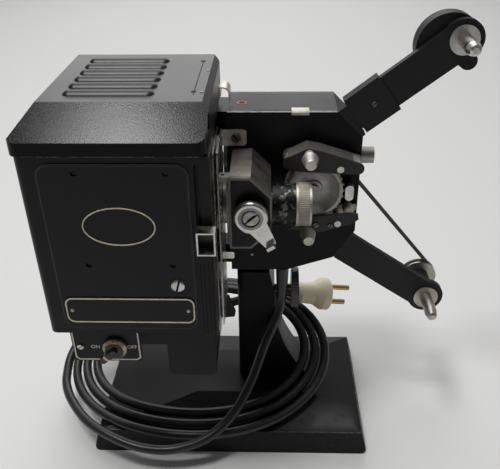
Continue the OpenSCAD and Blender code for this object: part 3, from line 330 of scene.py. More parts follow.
def lacquer(name, shine=0.3, tint=BLACK, wear=None, dusty=0.10, gloss=0.22, chips=0.0, sheen=None):
    f = Finish(name)
    cloud = f.noise(38, 5, 0.6)
    dust = f.ramp(f.noise(900, 2, 0.6), 0.60, 0.78) * f.ramp(cloud, 0.42, 0.65)
    colour = f.mix(dust * dusty, tint, DUST)
    rough = shine + cloud * 0.12 + dust * 0.2
    bare = None
    if wear:
        bare = wear(f) * EDGE_BARE
    if chips:
        flakes = chipped(f, chips)
        bare = flakes if bare is None else bare.most(flakes)
    # A mask paints the colour paler: the front panel's painted highlight, and dust with painted sheen on the
    # stand's hip.
    if sheen:
        colour = f.mix(sheen(f), colour, SHEEN_AND_DUST)
    sockets = {}
    if bare:
        colour = f.mix(bare, colour, BARE)
        sockets["Metallic"] = bare * BARE_METAL
    skin = f.bump(f.noise(420, 3, 0.5), ORANGE_PEEL)
    return f.close(colour, rough, Normal=skin, Specular_IOR_Level=gloss, **sockets)


# Dust and painted sheen: the stand's right front hip, above the rim, is painted paler in a broken patch.
def dusty_hip_sheen(f):
    dull = f.ramp(f.noise(60, 4, 0.6), 0.22, 0.52)
    for axis, (none, full) in zip(f.axes(), HIP_FADES):
        dull = dull * f.ramp(axis, none * MM, full * MM)
    return dull


FACE = [(2.2, 123), (38.5, 123), (67.75, 132.9), (80.5, 153), (80.5, 216), (65.5, 231), (2.2, 231)]
COVER = [(5.6, 166.6), (15.9, 166.6), (26.9, 177.6), (26.9, 197.4), (15.9, 208.4), (5.6, 208.4)]
BASE_EDGE = 16
PANEL_CORNER = 7
# The front panel's lacquer carries the painted highlight along its step.
panel_lacquer = lacquer("panel_lacquer", 0.22, sheen=step_highlight("front_panel", PANEL_CORNER))
dress("face_plate", lacquer("face_lacquer", 0.26, wear=outline_edges(FACE, 0.25), gloss=0.14))
dress("gate_cover", lacquer("cover_lacquer", 0.24, wear=outline_edges(COVER, 0.4), dusty=0.2))
# The stand gets the patch of dust and painted sheen on its right front hip.
dress("base_casting", lacquer("stand_enamel", 0.42, wear=height_edge(BASE_EDGE, 0.35), dusty=0.4, gloss=0.3,
                              sheen=dusty_hip_sheen))
for node in ("lamphouse", "back_cover", "lower_housing"):
    dress(node, lacquer("lacquer_" + node, 0.3, wear=box_edges(node, 0.4)))
dress("mechanism_case", lacquer("case_lacquer", 0.3, wear=box_edges("mechanism_case", 0.4), gloss=0.14))
for node in ("column", "tilt_tongue", "cord_hook"):
    dress(node, lacquer("casting_" + node, 0.34, wear=box_edges(node, 0.25), gloss=0.12))
dress("front_panel", panel_lacquer)
dress("switch_plate", lacquer("plate_lacquer", 0.3))
dress("lens_barrel", lacquer("chipped_lacquer", 0.26, chips=0.85, dusty=0.3))
arm_lacquer = lacquer("arm_lacquer", 0.5, tint=(0.0065, 0.0066, 0.007), gloss=0.35)
for node in ("arm_socket", "upper_arm", "lower_arm", "rewind_cover", "rewind_crank"):
    dress(node, arm_lacquer)
print("lacquered pieces dressed")

# %% [markdown]
# The roof of the lamphouse has a pebbled lacquer: a skin of small rounded bumps on the slope towards the
# front. A smooth Voronoi pattern gives such rounded bumps, and on the slope the centres of the pebbles are
# painted paler, as painted glints. The flat top is nearly smooth and shows a stronger sheet of light, and the
# rim below the slope is smooth and dark. Each shader keeps one strength of reflection, so a mask along the
# depth picks a shader for the top or one for the front.

# %% Pebbled roof
PEBBLE = 0.6 * MM
RIM_HEIGHT, RIM_FADE = 7 * MM, 0.4 * MM
SLOPE_DEPTH, SLOPE_FADE = 17.5 * MM, 0.6 * MM
RIM_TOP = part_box("roof_cap")[0][2] + RIM_HEIGHT
SLOPE_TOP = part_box("roof_cap")[0][1] + SLOPE_DEPTH
TOP_BUMP, SLOPE_BUMP = PEBBLE * 0.01, PEBBLE * 0.038


def pebbled_lacquer():
    f = Finish("pebbled_lacquer")
    _, y, z = f.axes()
    pebbly = f.ramp(z, RIM_TOP - RIM_FADE, RIM_TOP)
    bumps = f.wire("ShaderNodeTexVoronoi", {"feature": "SMOOTH_F1"}, Vector=f.place, Scale=1 / PEBBLE,
                   Smoothness=0.7)
    height = bumps + f.noise(0.9 / PEBBLE, 3, 0.6) * 0.7
    wear = box_edges("roof_cap", 0.5)(f)
    cloud = f.noise(30, 4, 0.6) * 0.06
    # Painted glints: the centres of the pebbles on the slope are painted a paler grey.
    grain = f.mix(pebbly * f.ramp(bumps, 0.5, 0.15) * 0.7, BLACK, SHEEN_AND_DUST)
    top = f.shader(f.mix(wear, BLACK, BARE), 0.34 + cloud, Metallic=wear * BARE_METAL,
                   Normal=f.bump(height, TOP_BUMP), Specular_IOR_Level=0.5)
    front = f.shader(f.mix(wear, grain, BARE), 0.30 - pebbly * 0.15 + cloud, Metallic=wear * BARE_METAL,
                     Normal=f.bump(height * pebbly, SLOPE_BUMP), Specular_IOR_Level=0.13)
    return f.output(f.either(f.ramp(y, SLOPE_TOP, SLOPE_TOP - SLOPE_FADE), top, front))


dress("roof_cap", pebbled_lacquer())
print("pebbles of", PEBBLE / MM, "mm, slope from", round(SLOPE_TOP / MM, 1))

# %% [markdown]
# The bright parts are nickel plate that has dulled in patches, and plain grey castings with a sandy skin.
# Both are metals, so the colour is the reflection's colour, and the roughness carries the wear. A mask
# darkens one stretch of a piece and fades over a named soft edge. This gives painted shade inside the framing
# slide, a darker knurled middle on the lens ring, a darker ring round the lever's screw, and the black cheeks
# of the film shoes.

# %% Metals
DEEP = (0.008, 0.008, 0.0085)
SCRATCH_STRETCH = (1, 8, 22)


def metal(name, colour, worn, rough, spread, grain=0.03 * MM, scale=500, dark=None):
    f = Finish(name)
    patch = f.ramp(f.noise(70, 5, 0.65), 0.40, 0.68)
    fine = f.noise(scale, 4, 0.6)
    scratch = f.ramp(f.noise(150, 2, 0.6, f.stretched(*SCRATCH_STRETCH)), 0.60, 0.72)
    skin = f.mix(patch * 0.75, colour, worn)
    shiny = 1.0 - patch * 0.12
    if dark:
        shade = dark(f)
        skin = f.mix(shade, skin, DEEP)
        shiny = shiny * (1 - shade)
    return f.close(skin, rough + patch * spread + fine * 0.06 + scratch * 0.08, Metallic=shiny,
                   Normal=f.bump(fine, grain))


def deeper_than(y, soft=0.15):
    return lambda f: f.ramp(f.axes()[1], (y - soft) * MM, (y + soft) * MM)


def between_radii(x, z, inner, outer, share, soft=0.2):
    def shade(f):
        across, _, up = f.axes()
        right = across - x * MM
        high = up - z * MM
        out = (right * right + high * high).root()
        inside = f.ramp(out, outer * MM, (outer - soft) * MM)
        return f.ramp(out, (inner - soft) * MM, inner * MM) * inside * share

    return shade


def outside_depths(y0, y1, soft=0.3):
    def shade(f):
        y = f.axes()[1]
        return f.ramp(y, y0 * MM, (y0 - soft) * MM).most(f.ramp(y, y1 * MM, (y1 + soft) * MM))

    return shade


def inside_rims(node, rim, share, soft=0.1):
    low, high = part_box(node)

    def shade(f):
        x = f.axes()[0]
        return f.ramp((x - low[0]).least(high[0] - x), (rim - soft) * MM, (rim + soft) * MM) * share

    return shade


NICKEL = ((0.66, 0.64, 0.60), (0.42, 0.39, 0.35), 0.16, 0.22)
LEVER_AXIS = (16.5, 189.2)
RING_RIM = 1.1
SLIDE_FLOOR = -81.2
SHOE_FRONT, SHOE_BACK = -22, -11
nickel = metal("worn_nickel", *NICKEL)
dull_nickel = metal("dull_nickel", (0.50, 0.48, 0.44), (0.30, 0.27, 0.23), 0.30, 0.22)
ring_nickel = metal("yellowed_nickel", (0.60, 0.565, 0.48), (0.42, 0.385, 0.30), 0.42, 0.12,
                    dark=inside_rims("lens_ring", RING_RIM, 0.4))
lever_nickel = metal("lever_nickel", (0.66, 0.65, 0.63), (0.46, 0.45, 0.42), 0.12, 0.16,
                     dark=between_radii(*LEVER_AXIS, 5.0, 7.0, 0.55))
steel = metal("aged_steel", (0.36, 0.35, 0.33), (0.20, 0.18, 0.155), 0.32, 0.25)
dark_steel = metal("dark_steel", (0.16, 0.155, 0.15), (0.09, 0.085, 0.08), 0.36, 0.2)
grey_cast = metal("grey_casting", (0.40, 0.39, 0.365), (0.26, 0.245, 0.22), 0.42, 0.18, 0.08 * MM, 900)
block_cast = metal("stained_casting", (0.36, 0.335, 0.29), (0.13, 0.115, 0.095), 0.38, 0.2, 0.08 * MM, 700)
pin_cast = metal("pale_casting", (0.64, 0.62, 0.56), (0.46, 0.44, 0.38), 0.5, 0.12, 0.06 * MM, 900)
brass = metal("brass", (0.70, 0.50, 0.22), (0.45, 0.32, 0.15), 0.24, 0.2)
# Painted shade: the inside of the framing slide, deeper than SLIDE_FLOOR, is painted near black.
slide_nickel = metal("slide_nickel", *NICKEL, dark=deeper_than(SLIDE_FLOOR))
shoe_metal = metal("shoe_metal", (0.36, 0.34, 0.30), (0.20, 0.185, 0.16), 0.45, 0.15,
                   dark=outside_depths(SHOE_FRONT, SHOE_BACK))
dress("gate_lever", lever_nickel)
for node in ("shutter_plate", "gate_plate", "roof_catch", "lever_screw", "film_posts", "upper_spindle",
             "condenser_tube"):
    dress(node, nickel)
for node in ("main_shaft", "sprocket_shaft", "motor_rotor", "base_plate", "motor"):
    dress(node, steel)
for node in ("sprocket", "hand_knob", "shutter"):
    dress(node, grey_cast)
for node in ("plug_pins", "bushings", "lamp_socket"):
    dress(node, brass)
for node in ("upper_shoe", "lower_shoe"):
    dress(node, shoe_metal)
for node in ("upper_rollers", "lower_rollers"):
    dress(node, pin_cast)
for node in ("tilt_knob", "tilt_pin"):
    dress(node, dark_steel)
dress("lower_spindle", dull_nickel)
dress("lens_ring", ring_nickel)
dress("gate_block", block_cast)
dress("frame_slider", slide_nickel)
print("metal pieces dressed")

# %% [markdown]
# The rest are rubber, plastic, paint, glass and a mirror. Rubber is dark with a soft sheen, the cream plug
# has yellowed unevenly with age, and the black switch knob is rubbed pale along its rim.

# %% Rubber, plastic and glass
KNOB_BLACK = (0.006, 0.006, 0.006)
KNOB_RUBBED = (0.46, 0.38, 0.26)
SWITCH_AXIS = (-61.8, 114.3)


def plain(name, colour, other, rough, scale=120, depth=0.03 * MM, **sockets):
    f = Finish(name)
    cloud = f.noise(scale, 4, 0.6)
    fine = f.noise(scale * 9, 3, 0.6)
    return f.close(f.mix(f.ramp(cloud, 0.35, 0.7), colour, other), rough + cloud * 0.12,
                   Normal=f.bump(fine, depth), **sockets)


def rubbed_rim(name, x, z, inner, outer):
    f = Finish(name)
    rim = between_radii(x, z, inner, outer, 1.0)(f) * f.ramp(f.noise(300, 4, 0.6), 0.30, 0.42)
    return f.close(f.mix(rim, KNOB_BLACK, KNOB_RUBBED), 0.3, Metallic=rim * 0.7)


worn_knob = rubbed_rim("worn_knob", *SWITCH_AXIS, 5.5, 7.1)
cord_rubber = plain("cord_rubber", (0.012, 0.012, 0.0125), (0.022, 0.022, 0.022), 0.30)
belt_rubber = plain("belt_rubber", (0.085, 0.075, 0.055), (0.13, 0.115, 0.085), 0.55)
# Near black for painted shade in slots, holes, the slit and notches, and for the roof's dark seam line.
pit_black = plain("pit_black", (0.002, 0.002, 0.002), (0.003, 0.003, 0.003), 0.7)
cream = plain("cream_plastic", (0.94, 0.87, 0.66), (0.88, 0.78, 0.54), 0.34, 60)
inlay = plain("cream_inlay", (0.74, 0.68, 0.55), (0.60, 0.54, 0.42), 0.5, 200)
red_paint = plain("red_paint", (0.42, 0.05, 0.025), (0.26, 0.03, 0.015), 0.4)
glass = plain("clear_glass", (0.95, 0.97, 0.97), (0.92, 0.95, 0.95), 0.01, 120, 0.0, Transmission_Weight=1.0)
mirror = plain("silvered", (0.9, 0.9, 0.9), (0.85, 0.85, 0.85), 0.02, 120, 0.0, Metallic=1.0)
dress("cord_gland", cord_rubber)
dress("belts", belt_rubber)
dress("switch_knob", worn_knob)
dress("plug_body", cream)
for node in ("lamp_bulb", "condenser_lens", "lens_glass"):
    dress(node, glass)
dress("reflector", mirror)
print("soft and clear pieces dressed")

# %% [markdown]
# A cord is a long round tube. A curve with a bevel would do, but a tube of rings keeps the section round in
# tight places. Three helpers come first: one makes a mesh a piece of the scene, one draws a smooth curve
# through points, and one lays rings along it.

# %% Tubes and pieces


def piece(name, mesh, materials, smooth=False):
    data = bpy.data.meshes.new(name)
    bmesh.ops.recalc_face_normals(mesh, faces=mesh.faces)
    mesh.to_mesh(data)
    mesh.free()
    for polygon in data.polygons:
        polygon.use_smooth = smooth
    for material in materials:
        data.materials.append(material)
    made = bpy.data.objects.new(name, data)
    scene.collection.objects.link(made)
    return made


def spline(points, steps):
    out = []
    for i in range(len(points) - 1):
        a, b, c, d = points[max(i - 1, 0)], points[i], points[i + 1], points[min(i + 2, len(points) - 1)]
        for s in range(steps):
            u = s / steps
            square = 2 * a - 5 * b + 4 * c - d
            cubic = 3 * b - a - 3 * c + d
            out.append((2 * b + (c - a) * u + square * u * u + cubic * u ** 3) / 2)
    return out + [points[-1]]


def tube(name, path, radius, sides, material):
    rings = []
    mesh = bmesh.new()
    side = Vector((0, 1, 0))
    for i, at in enumerate(path):
        along = (path[min(i + 1, len(path) - 1)] - path[max(i - 1, 0)]).normalized()
        side = (side - along * side.dot(along)).normalized()
        up = along.cross(side)
        ring = []
        for k in range(sides):
            a = 2 * math.pi * k / sides
            ring.append(mesh.verts.new(at + radius * (side * math.cos(a) + up * math.sin(a))))
        rings.append(ring)
    for first, second in zip(rings, rings[1:]):
        for k in range(sides):
            mesh.faces.new((first[k], first[(k + 1) % sides], second[(k + 1) % sides], second[k]))
    mesh.faces.new(list(reversed(rings[0])))
    mesh.faces.new(rings[-1])
    return piece(name, mesh, [material], smooth=True)


print("tube helper ready")

# %% [markdown]
# The mains cord leaves the head at its strain relief, falls in front of the column, runs round the front,
# lies in three loose turns and climbs behind the column to its plug. It follows the same points as its solid.
# A simulated cord would settle elsewhere, so the route is listed point by point. Each turn is a little
# smaller than the last, and climbs at the back.

# %% Mains cord
CORD_R = 3.2
CORD_SIDES = 16
COIL_TURNS = 3
COIL_STEPS = 64
COIL_FROM = 185
COIL_MIDDLE = Vector((-26, 2, 19.5))
COIL_WIDE, WIDE_LESS = 98, 7.6
COIL_FRONT, FRONT_LESS = 66, 8
COIL_BACK, BACK_LESS = 55.5, 7.4
COIL_RISE = 2
CLIMB, CLIMB_AT, CLIMB_POWER = 48, 75, 1.6
CURVE_STEPS = 8


def coil_point(t):
    a = math.radians(COIL_FROM - 360 * t)
    wide = COIL_WIDE - WIDE_LESS * t
    deep = COIL_BACK - BACK_LESS * t if math.sin(a) > 0 else COIL_FRONT - FRONT_LESS * t
    climb = CLIMB * ((1 + math.cos(a - math.radians(CLIMB_AT))) / 2) ** CLIMB_POWER
    return COIL_MIDDLE + Vector((wide * math.cos(a), deep * math.sin(a), COIL_RISE * t + climb))


PLUG_AT = Vector((48, 29.3, 76.6))
PLUG_DIR = Vector((0.95, 0.2, -0.2)).normalized()
LEAD = [Vector(p) for p in (
    (35.5, -4.5, 102), (35.3, -4.9, 98), (34.7, -6, 94), (33.8, -7.7, 89.8), (32.3, -9.9, 85.5),
    (28.4, -14.8, 77.6), (24, -20.6, 69.4), (15, -35.5, 49.5), (3, -52.5, 36), (-14, -64, 25.6),
    (-36, -68.5, 19.5), (-58, -68, 20), (-79, -61.5, 23), (-98, -50, 25), (-113, -32.5, 26),
    (-121, -17, 26.3))]
TAIL = [Vector(p) for p in (
    (-98.6, 10.8, 38.4), (-90, 21.4, 42.6), (-76.8, 27.2, 46.3), (-60, 28.2, 50.2), (-45, 28.4, 54.4),
    (-30, 28.5, 58.8), (-15, 28.5, 63.3), (0, 28.3, 68), (14, 28, 72.8), (27, 27.4, 76.4))]
turns = [coil_point(i / COIL_STEPS) for i in range(COIL_STEPS * COIL_TURNS + 1)]
lead = spline(LEAD + [turns[0]], CURVE_STEPS)[:-1]
tail = spline([turns[-1]] + TAIL + [PLUG_AT - 2 * CORD_R * PLUG_DIR, PLUG_AT], CURVE_STEPS)[1:]
cord_path = [p * MM for p in lead + turns + tail]
cord_length = sum((b - a).length for a, b in zip(cord_path, cord_path[1:]))
mains_cord = tube("mains_cord", cord_path, CORD_R * MM, CORD_SIDES, cord_rubber)
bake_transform(mains_cord)
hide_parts("cord_lead", "cord_coil", "cord_tail")
print("cord m", round(cord_length, 3))

# %% [markdown]
# Screws and rivets repeat all over the machine. Two small heads are modelled once, for a radius of one: a
# slotted one made of two half-moons, and a low dome. The floor of a slot is a dark disc of painted shade in
# the trim, further down.

# %% Screw and rivet heads
SLOT = 0.16
HEAD_SIDES = 14
MOON_STEPS = 8
SCREW_PROFILE = ((1, 0), (1, 0.3), (0.84, 0.42))
RIVET_PROFILE = ((1, 0), (0.93, 0.25), (0.62, 0.48), (0.2, 0.56))


def loop(mesh, points):
    return [mesh.verts.new(Vector(p) * MM) for p in points]


def skirt(mesh, low, high):
    for i in range(len(low)):
        j = (i + 1) % len(low)
        mesh.faces.new((low[i], low[j], high[j], high[i]))


def ring_points(radius, z):
    angles = [2 * math.pi * k / HEAD_SIDES for k in range(HEAD_SIDES)]
    return [(radius * math.cos(a), radius * math.sin(a), z) for a in angles]


def half_moon(radius, z, sign):
    lean = math.asin(SLOT / radius)
    angles = [lean + (math.pi - 2 * lean) * k / MOON_STEPS for k in range(MOON_STEPS + 1)]
    return [(radius * math.cos(a), sign * radius * math.sin(a), z) for a in angles]


def closed_stack(mesh, rings):
    loops = [loop(mesh, points) for points in rings]
    for low, high in zip(loops, loops[1:]):
        skirt(mesh, low, high)
    mesh.faces.new(list(reversed(loops[0])))
    mesh.faces.new(loops[-1])


def slotted_head():
    mesh = bmesh.new()
    for sign in (1, -1):
        closed_stack(mesh, [half_moon(r, z, sign) for r, z in SCREW_PROFILE])
    return piece("slotted_head", mesh, [])


def rivet_head():
    mesh = bmesh.new()
    closed_stack(mesh, [ring_points(r, z) for r, z in RIVET_PROFILE])
    return piece("rivet_head", mesh, [], smooth=True)


slotted = slotted_head()
rivet = rivet_head()
print("head faces", len(slotted.data.polygons), len(rivet.data.polygons))

# %% [markdown]
# The heads could be copied by hand, but a Geometry Nodes tree sets them on points instead. Each point carries
# its own size and its own turn, so every slot can stand as it does on the real machine. The result is turned
# into a plain mesh, one for each set of heads, before it rides on its body.

# %% Heads on points


def head_tree():
    tree = bpy.data.node_groups.new("heads_on_points", "GeometryNodeTree")
    sockets = {}
    for name, kind, flow in (("Points", "NodeSocketGeometry", "INPUT"), ("Head", "NodeSocketObject", "INPUT"),
                             ("Size", "NodeSocketFloat", "INPUT"), ("Finish", "NodeSocketMaterial", "INPUT"),
                             ("Heads", "NodeSocketGeometry", "OUTPUT")):
        sockets[name] = tree.interface.new_socket(name=name, in_out=flow, socket_type=kind).identifier
    new = tree.nodes.new
    given = new("NodeGroupInput")
    made = new("NodeGroupOutput")
    head = new("GeometryNodeObjectInfo")
    radius = new("GeometryNodeInputNamedAttribute")
    radius.data_type = "FLOAT"
    radius.inputs["Name"].default_value = "radius"
    pose = new("GeometryNodeInputNamedAttribute")
    pose.data_type = "FLOAT_VECTOR"
    pose.inputs["Name"].default_value = "pose"
    scale = new("ShaderNodeMath")
    scale.operation = "MULTIPLY"
    place = new("GeometryNodeInstanceOnPoints")
    realize = new("GeometryNodeRealizeInstances")
    coat = new("GeometryNodeSetMaterial")
    join = tree.links.new
    join(given.outputs["Head"], head.inputs["Object"])
    join(given.outputs["Size"], scale.inputs[0])
    join(radius.outputs["Attribute"], scale.inputs[1])
    join(given.outputs["Points"], place.inputs["Points"])
    join(head.outputs["Geometry"], place.inputs["Instance"])
    join(pose.outputs["Attribute"], place.inputs["Rotation"])
    join(scale.outputs[0], place.inputs["Scale"])
    join(place.outputs["Instances"], realize.inputs["Geometry"])
    join(realize.outputs["Geometry"], coat.inputs["Geometry"])
    join(given.outputs["Finish"], coat.inputs["Material"])
    join(coat.outputs["Geometry"], made.inputs["Heads"])
    return tree, sockets


HEAD_TREE, HEAD_SOCKETS = head_tree()
FACING = {"front": Matrix.Rotation(math.pi / 2, 3, "X"), "back": Matrix.Rotation(-math.pi / 2, 3, "X"),
          "up": Matrix.Identity(3)}


def heads(name, body, head, material, spots):
    data = bpy.data.meshes.new(name + "_points")
    data.from_pydata([Vector(at) * MM for at, _, _, _ in spots], [], [])
    sizes = data.attributes.new("radius", "FLOAT", "POINT")
    poses = data.attributes.new("pose", "FLOAT_VECTOR", "POINT")
    for i, (_, radius, facing, turned) in enumerate(spots):
        sizes.data[i].value = radius
        spin = FACING[facing] @ Matrix.Rotation(math.radians(turned), 3, "Z")
        poses.data[i].vector = spin.to_euler("XYZ")
    points = bpy.data.objects.new(name + "_points", data)
    scene.collection.objects.link(points)
    work = points.modifiers.new("heads", "NODES")
    work.node_group = HEAD_TREE
    work[HEAD_SOCKETS["Head"]] = head
    work[HEAD_SOCKETS["Size"]] = 1.0
    work[HEAD_SOCKETS["Finish"]] = material
    graph = bpy.context.evaluated_depsgraph_get()
    mesh = bpy.data.meshes.new_from_object(points.evaluated_get(graph))
    points.modifiers.remove(work)
    bpy.data.objects.remove(points)
    made = bpy.data.objects.new(name, mesh)
    scene.collection.objects.link(made)
    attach(made, body)
    print(name, len(spots), "heads,", len(mesh.polygons), "faces")
    return made


print("head tree has", len(HEAD_TREE.nodes), "nodes")

# %% [markdown]
# The bright screws hold the front panel, the switch plate and the back cover. The dark ones hold the gate
# bracket, the arm socket and the lower shoe. Rivets hold the lined plate and a strip on the roof, and one
# more sits low on the face plate.

# %% Screws and rivets in place
PANEL_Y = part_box("front_panel")[0][1] / MM
PLATE_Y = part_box("switch_plate")[0][1] / MM
FACE_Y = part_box("face_plate")[0][1] / MM
BACK_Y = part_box("back_cover")[1][1] / MM
SHOE_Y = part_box("lower_shoe")[0][1] / MM
ARM_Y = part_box("arm_socket")[0][1] / MM
LEVER_SINK = 2.1
LEVER_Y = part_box("lever_screw")[0][1] / MM + LEVER_SINK
ROOF_Z = 257.0
PANEL_SCREW = (-21.4, 162.3)
BRACKET_SCREW = (7.2, 216)
BRACKET_THICK = 1
BRACKET_Y = FACE_Y - BRACKET_THICK
BACK_X, BACK_Z = (8.2, 62.5), (141, 219)
BACK_TURNS = (20, 65, 110, 150)
LINED_RIVETS_X, LINED_RIVETS_Z = (-80.3, -16.9), 145.4
LINED_THICK = 0.5
LINED_Y = PANEL_Y - LINED_THICK
ROOF_RIVETS = ((-6.7, -14.4), (-6.8, -50.1))


def at_depth(spot, y):
    return (spot[0], y, spot[1])


back_spots = [at_depth((x, z), BACK_Y) for z in BACK_Z for x in BACK_X]
heads("bright_screws", "head", slotted, nickel, [
    (at_depth(PANEL_SCREW, PANEL_Y), 3.6, "front", 75), ((-82.1, PLATE_Y, 114.3), 1.9, "front", 35),
    *((at, 2.5, "back", turned) for at, turned in zip(back_spots, BACK_TURNS))])
heads("dark_screws", "head", slotted, dark_steel, [
    (at_depth(BRACKET_SCREW, BRACKET_Y), 2.9, "front", 125), ((84.9, ARM_Y, 236.2), 1.6, "front", 40)])
heads("shoe_screws", "lower_shoe", slotted, dark_steel, [
    ((54.4, SHOE_Y, 166.0), 1.7, "front", 30), ((63.1, SHOE_Y, 165.6), 1.7, "front", 75)])
lever_head = heads("lever_head", "head", slotted, dull_nickel, [
    (at_depth(LEVER_AXIS, LEVER_Y), 4.9, "front", 40)])
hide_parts("lever_screw")
heads("plate_rivets", "head", rivet, dull_nickel, [
    *(((x, LINED_Y, LINED_RIVETS_Z), 1.1, "front", 0) for x in LINED_RIVETS_X),
    ((15.5, FACE_Y, 134.6), 1.0, "front", 0)])
heads("roof_rivets", "roof", rivet, dull_nickel, [
    ((x, y, ROOF_Z), 0.9, "up", 0) for x, y in ROOF_RIVETS])
for head in (slotted, rivet):
    bpy.data.objects.remove(head)

# %% [markdown]
# Plates, lines and rings are flat outlines with a little thickness. Each body gets one trim mesh that holds
# all of them, with a material for each. An outline alone gives a solid plate, and an outline with a second
# one inside it gives a frame.

# %% Trim helper


def round_rect(x0, y0, x1, y1, r, steps=6):
    out = []
    corners = ((x1 - r, y1 - r, 0), (x0 + r, y1 - r, 90), (x0 + r, y0 + r, 180), (x1 - r, y0 + r, 270))
    for cx, cy, start in corners:
        for k in range(steps + 1):
            a = math.radians(start + 90 * k / steps)
            out.append((cx + r * math.cos(a), cy + r * math.sin(a)))
    return out


def oval(cx, cy, rx, ry, count=56):
    angles = [2 * math.pi * k / count for k in range(count)]
    return [(cx + rx * math.cos(a), cy + ry * math.sin(a)) for a in angles]


class Trim:
    def __init__(self, name):
        self.name = name
        self.mesh = bmesh.new()
        self.materials = []

    def plate(self, outline, level, thick, material, facing="front", hole=None):
        if material not in self.materials:
            self.materials.append(material)
        before = set(self.mesh.faces)
        spread = self.spread(outline, level, thick, facing)
        skirt(self.mesh, *spread)
        if hole:
            inner = self.spread(hole, level, thick, facing)
            skirt(self.mesh, *inner)
            skirt(self.mesh, spread[0], inner[0])
            skirt(self.mesh, spread[1], inner[1])
        else:
            self.mesh.faces.new(spread[0])
            self.mesh.faces.new(spread[1])
        for face in set(self.mesh.faces) - before:
            face.material_index = self.materials.index(material)

    def spread(self, outline, level, thick, facing):
        if facing == "front":
            return [loop(self.mesh, [(x, y, z) for x, z in outline]) for y in (level, level - thick)]
        if facing == "up":
            return [loop(self.mesh, [(x, y, z) for x, y in outline]) for z in (level, level + thick)]
        return [loop(self.mesh, [(x, y, z) for y, z in outline]) for x in (level, level + thick)]

    def finish(self, body):
        made = piece(self.name, self.mesh, self.materials)
        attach(made, body)
        print(self.name, len(made.data.polygons), "faces")
        return made


print("trim helper ready")

# %% [markdown]
# The front panel carries a plain plate with a cream line round it, and an oval cream line above. The switch
# plate has a cream border. On the case top sit a red-rimmed oil hole, a folded clip and a long slit; the hole
# and the slit are black, painted shade. The dark discs are painted shade: the floors of the slotted screws,
# and a dark recess round the front panel's screw. Together with the heads above, this trim stands for the
# solid's plain screws, which it hides.

# %% Trim on the head
LINED_PLATE, LINED_PLATE_R = (-84, 136.8, -13, 154.1), 4.5
LINE_OUTSIDE, LINE_OUTSIDE_R = 0.4, 4.2
LINE_INSIDE, LINE_INSIDE_R = 1.2, 3.5
OVAL_AT, OVAL_WIDE, OVAL_HIGH, OVAL_LINE = (-48.6, 198), 18.5, 11, 0.6
INLAY_THICK, OVAL_THICK = 0.15, 0.3
PIT_THICK, PIT_SIDES = 0.12, 28
PLATE_LINE = [(-86.1, 127.4), (-86.1, 106.1), (-83.8, 104.3), (-49.9, 104.3), (-47.6, 106.1), (-47.6, 127.4)]
PLATE_INSIDE = [(-48.5, 127.4), (-48.5, 106.6), (-50.3, 105.2), (-83.4, 105.2), (-85.2, 106.6),
                (-85.2, 127.4)]
CASE_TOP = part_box("face_plate")[1][2] / MM
OIL_HOLE, OIL_R, OIL_RIM_R, OIL_THICK = (10.1, 8.1), 2.0, 3.0, 0.05
SLIT, SLIT_R, SLIT_THICK = (15.5, -5.6, 38.6, -4.7), 0.3, 0.06
CLIP_LOW, CLIP_BEND, CLIP_THICK, CLIP_DEEP = 229.6, 231.2, 1, 5
CLIP_X, CLIP_WIDE = 39, 10
CLIP_FRONT, CLIP_EASE = FACE_Y - CLIP_THICK, FACE_Y - 0.2
CLIP_BACK, CLIP_TOP = FACE_Y + CLIP_DEEP, CASE_TOP + CLIP_THICK
CLIP = [(CLIP_FRONT, CLIP_LOW), (CLIP_FRONT, CLIP_BEND), (CLIP_EASE, CLIP_TOP), (CLIP_BACK, CLIP_TOP),
        (CLIP_BACK, CASE_TOP), (FACE_Y, CASE_TOP), (FACE_Y, CLIP_LOW)]


def inset(rect, by):
    x0, z0, x1, z1 = rect
    return x0 + by, z0 + by, x1 - by, z1 - by


def disc(at, radius):
    return oval(*at, radius, radius, PIT_SIDES)


trim = Trim("head_trim")
trim.plate(round_rect(*LINED_PLATE, LINED_PLATE_R), PANEL_Y, LINED_THICK, panel_lacquer)
trim.plate(round_rect(*inset(LINED_PLATE, LINE_OUTSIDE), LINE_OUTSIDE_R), LINED_Y, INLAY_THICK, inlay,
           hole=round_rect(*inset(LINED_PLATE, LINE_INSIDE), LINE_INSIDE_R))
trim.plate(oval(*OVAL_AT, OVAL_WIDE, OVAL_HIGH), PANEL_Y, OVAL_THICK, inlay,
           hole=oval(*OVAL_AT, OVAL_WIDE - OVAL_LINE, OVAL_HIGH - OVAL_LINE))
# Discs of painted shade: slot floors, and a dark recess round the front panel's screw.
for at, y, r in ((PANEL_SCREW, PANEL_Y, 4.6), (BRACKET_SCREW, BRACKET_Y, 2.7), (LEVER_AXIS, LEVER_Y, 4.8)):
    trim.plate(disc(at, r), y, PIT_THICK, pit_black)
trim.plate(PLATE_LINE + PLATE_INSIDE, PLATE_Y, INLAY_THICK, inlay)
# The oil hole's black disc is painted shade inside the hole.
trim.plate(disc(OIL_HOLE, OIL_RIM_R), CASE_TOP, PIT_THICK, red_paint, "up", hole=disc(OIL_HOLE, OIL_R))
trim.plate(disc(OIL_HOLE, OIL_R), CASE_TOP, OIL_THICK, pit_black, "up")
# The slit is a black strip of painted shade.
trim.plate(round_rect(*SLIT, SLIT_R, 2), CASE_TOP, SLIT_THICK, pit_black, "up")
trim.plate(CLIP, CLIP_X, CLIP_WIDE, dull_nickel, "side")
head_trim = trim.finish("head")
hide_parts("head_screws")

# %% [markdown]
# The roof has a narrow strip along its right side, closed off by a dark seam, with a small notch at each end
# painted black as painted shade.

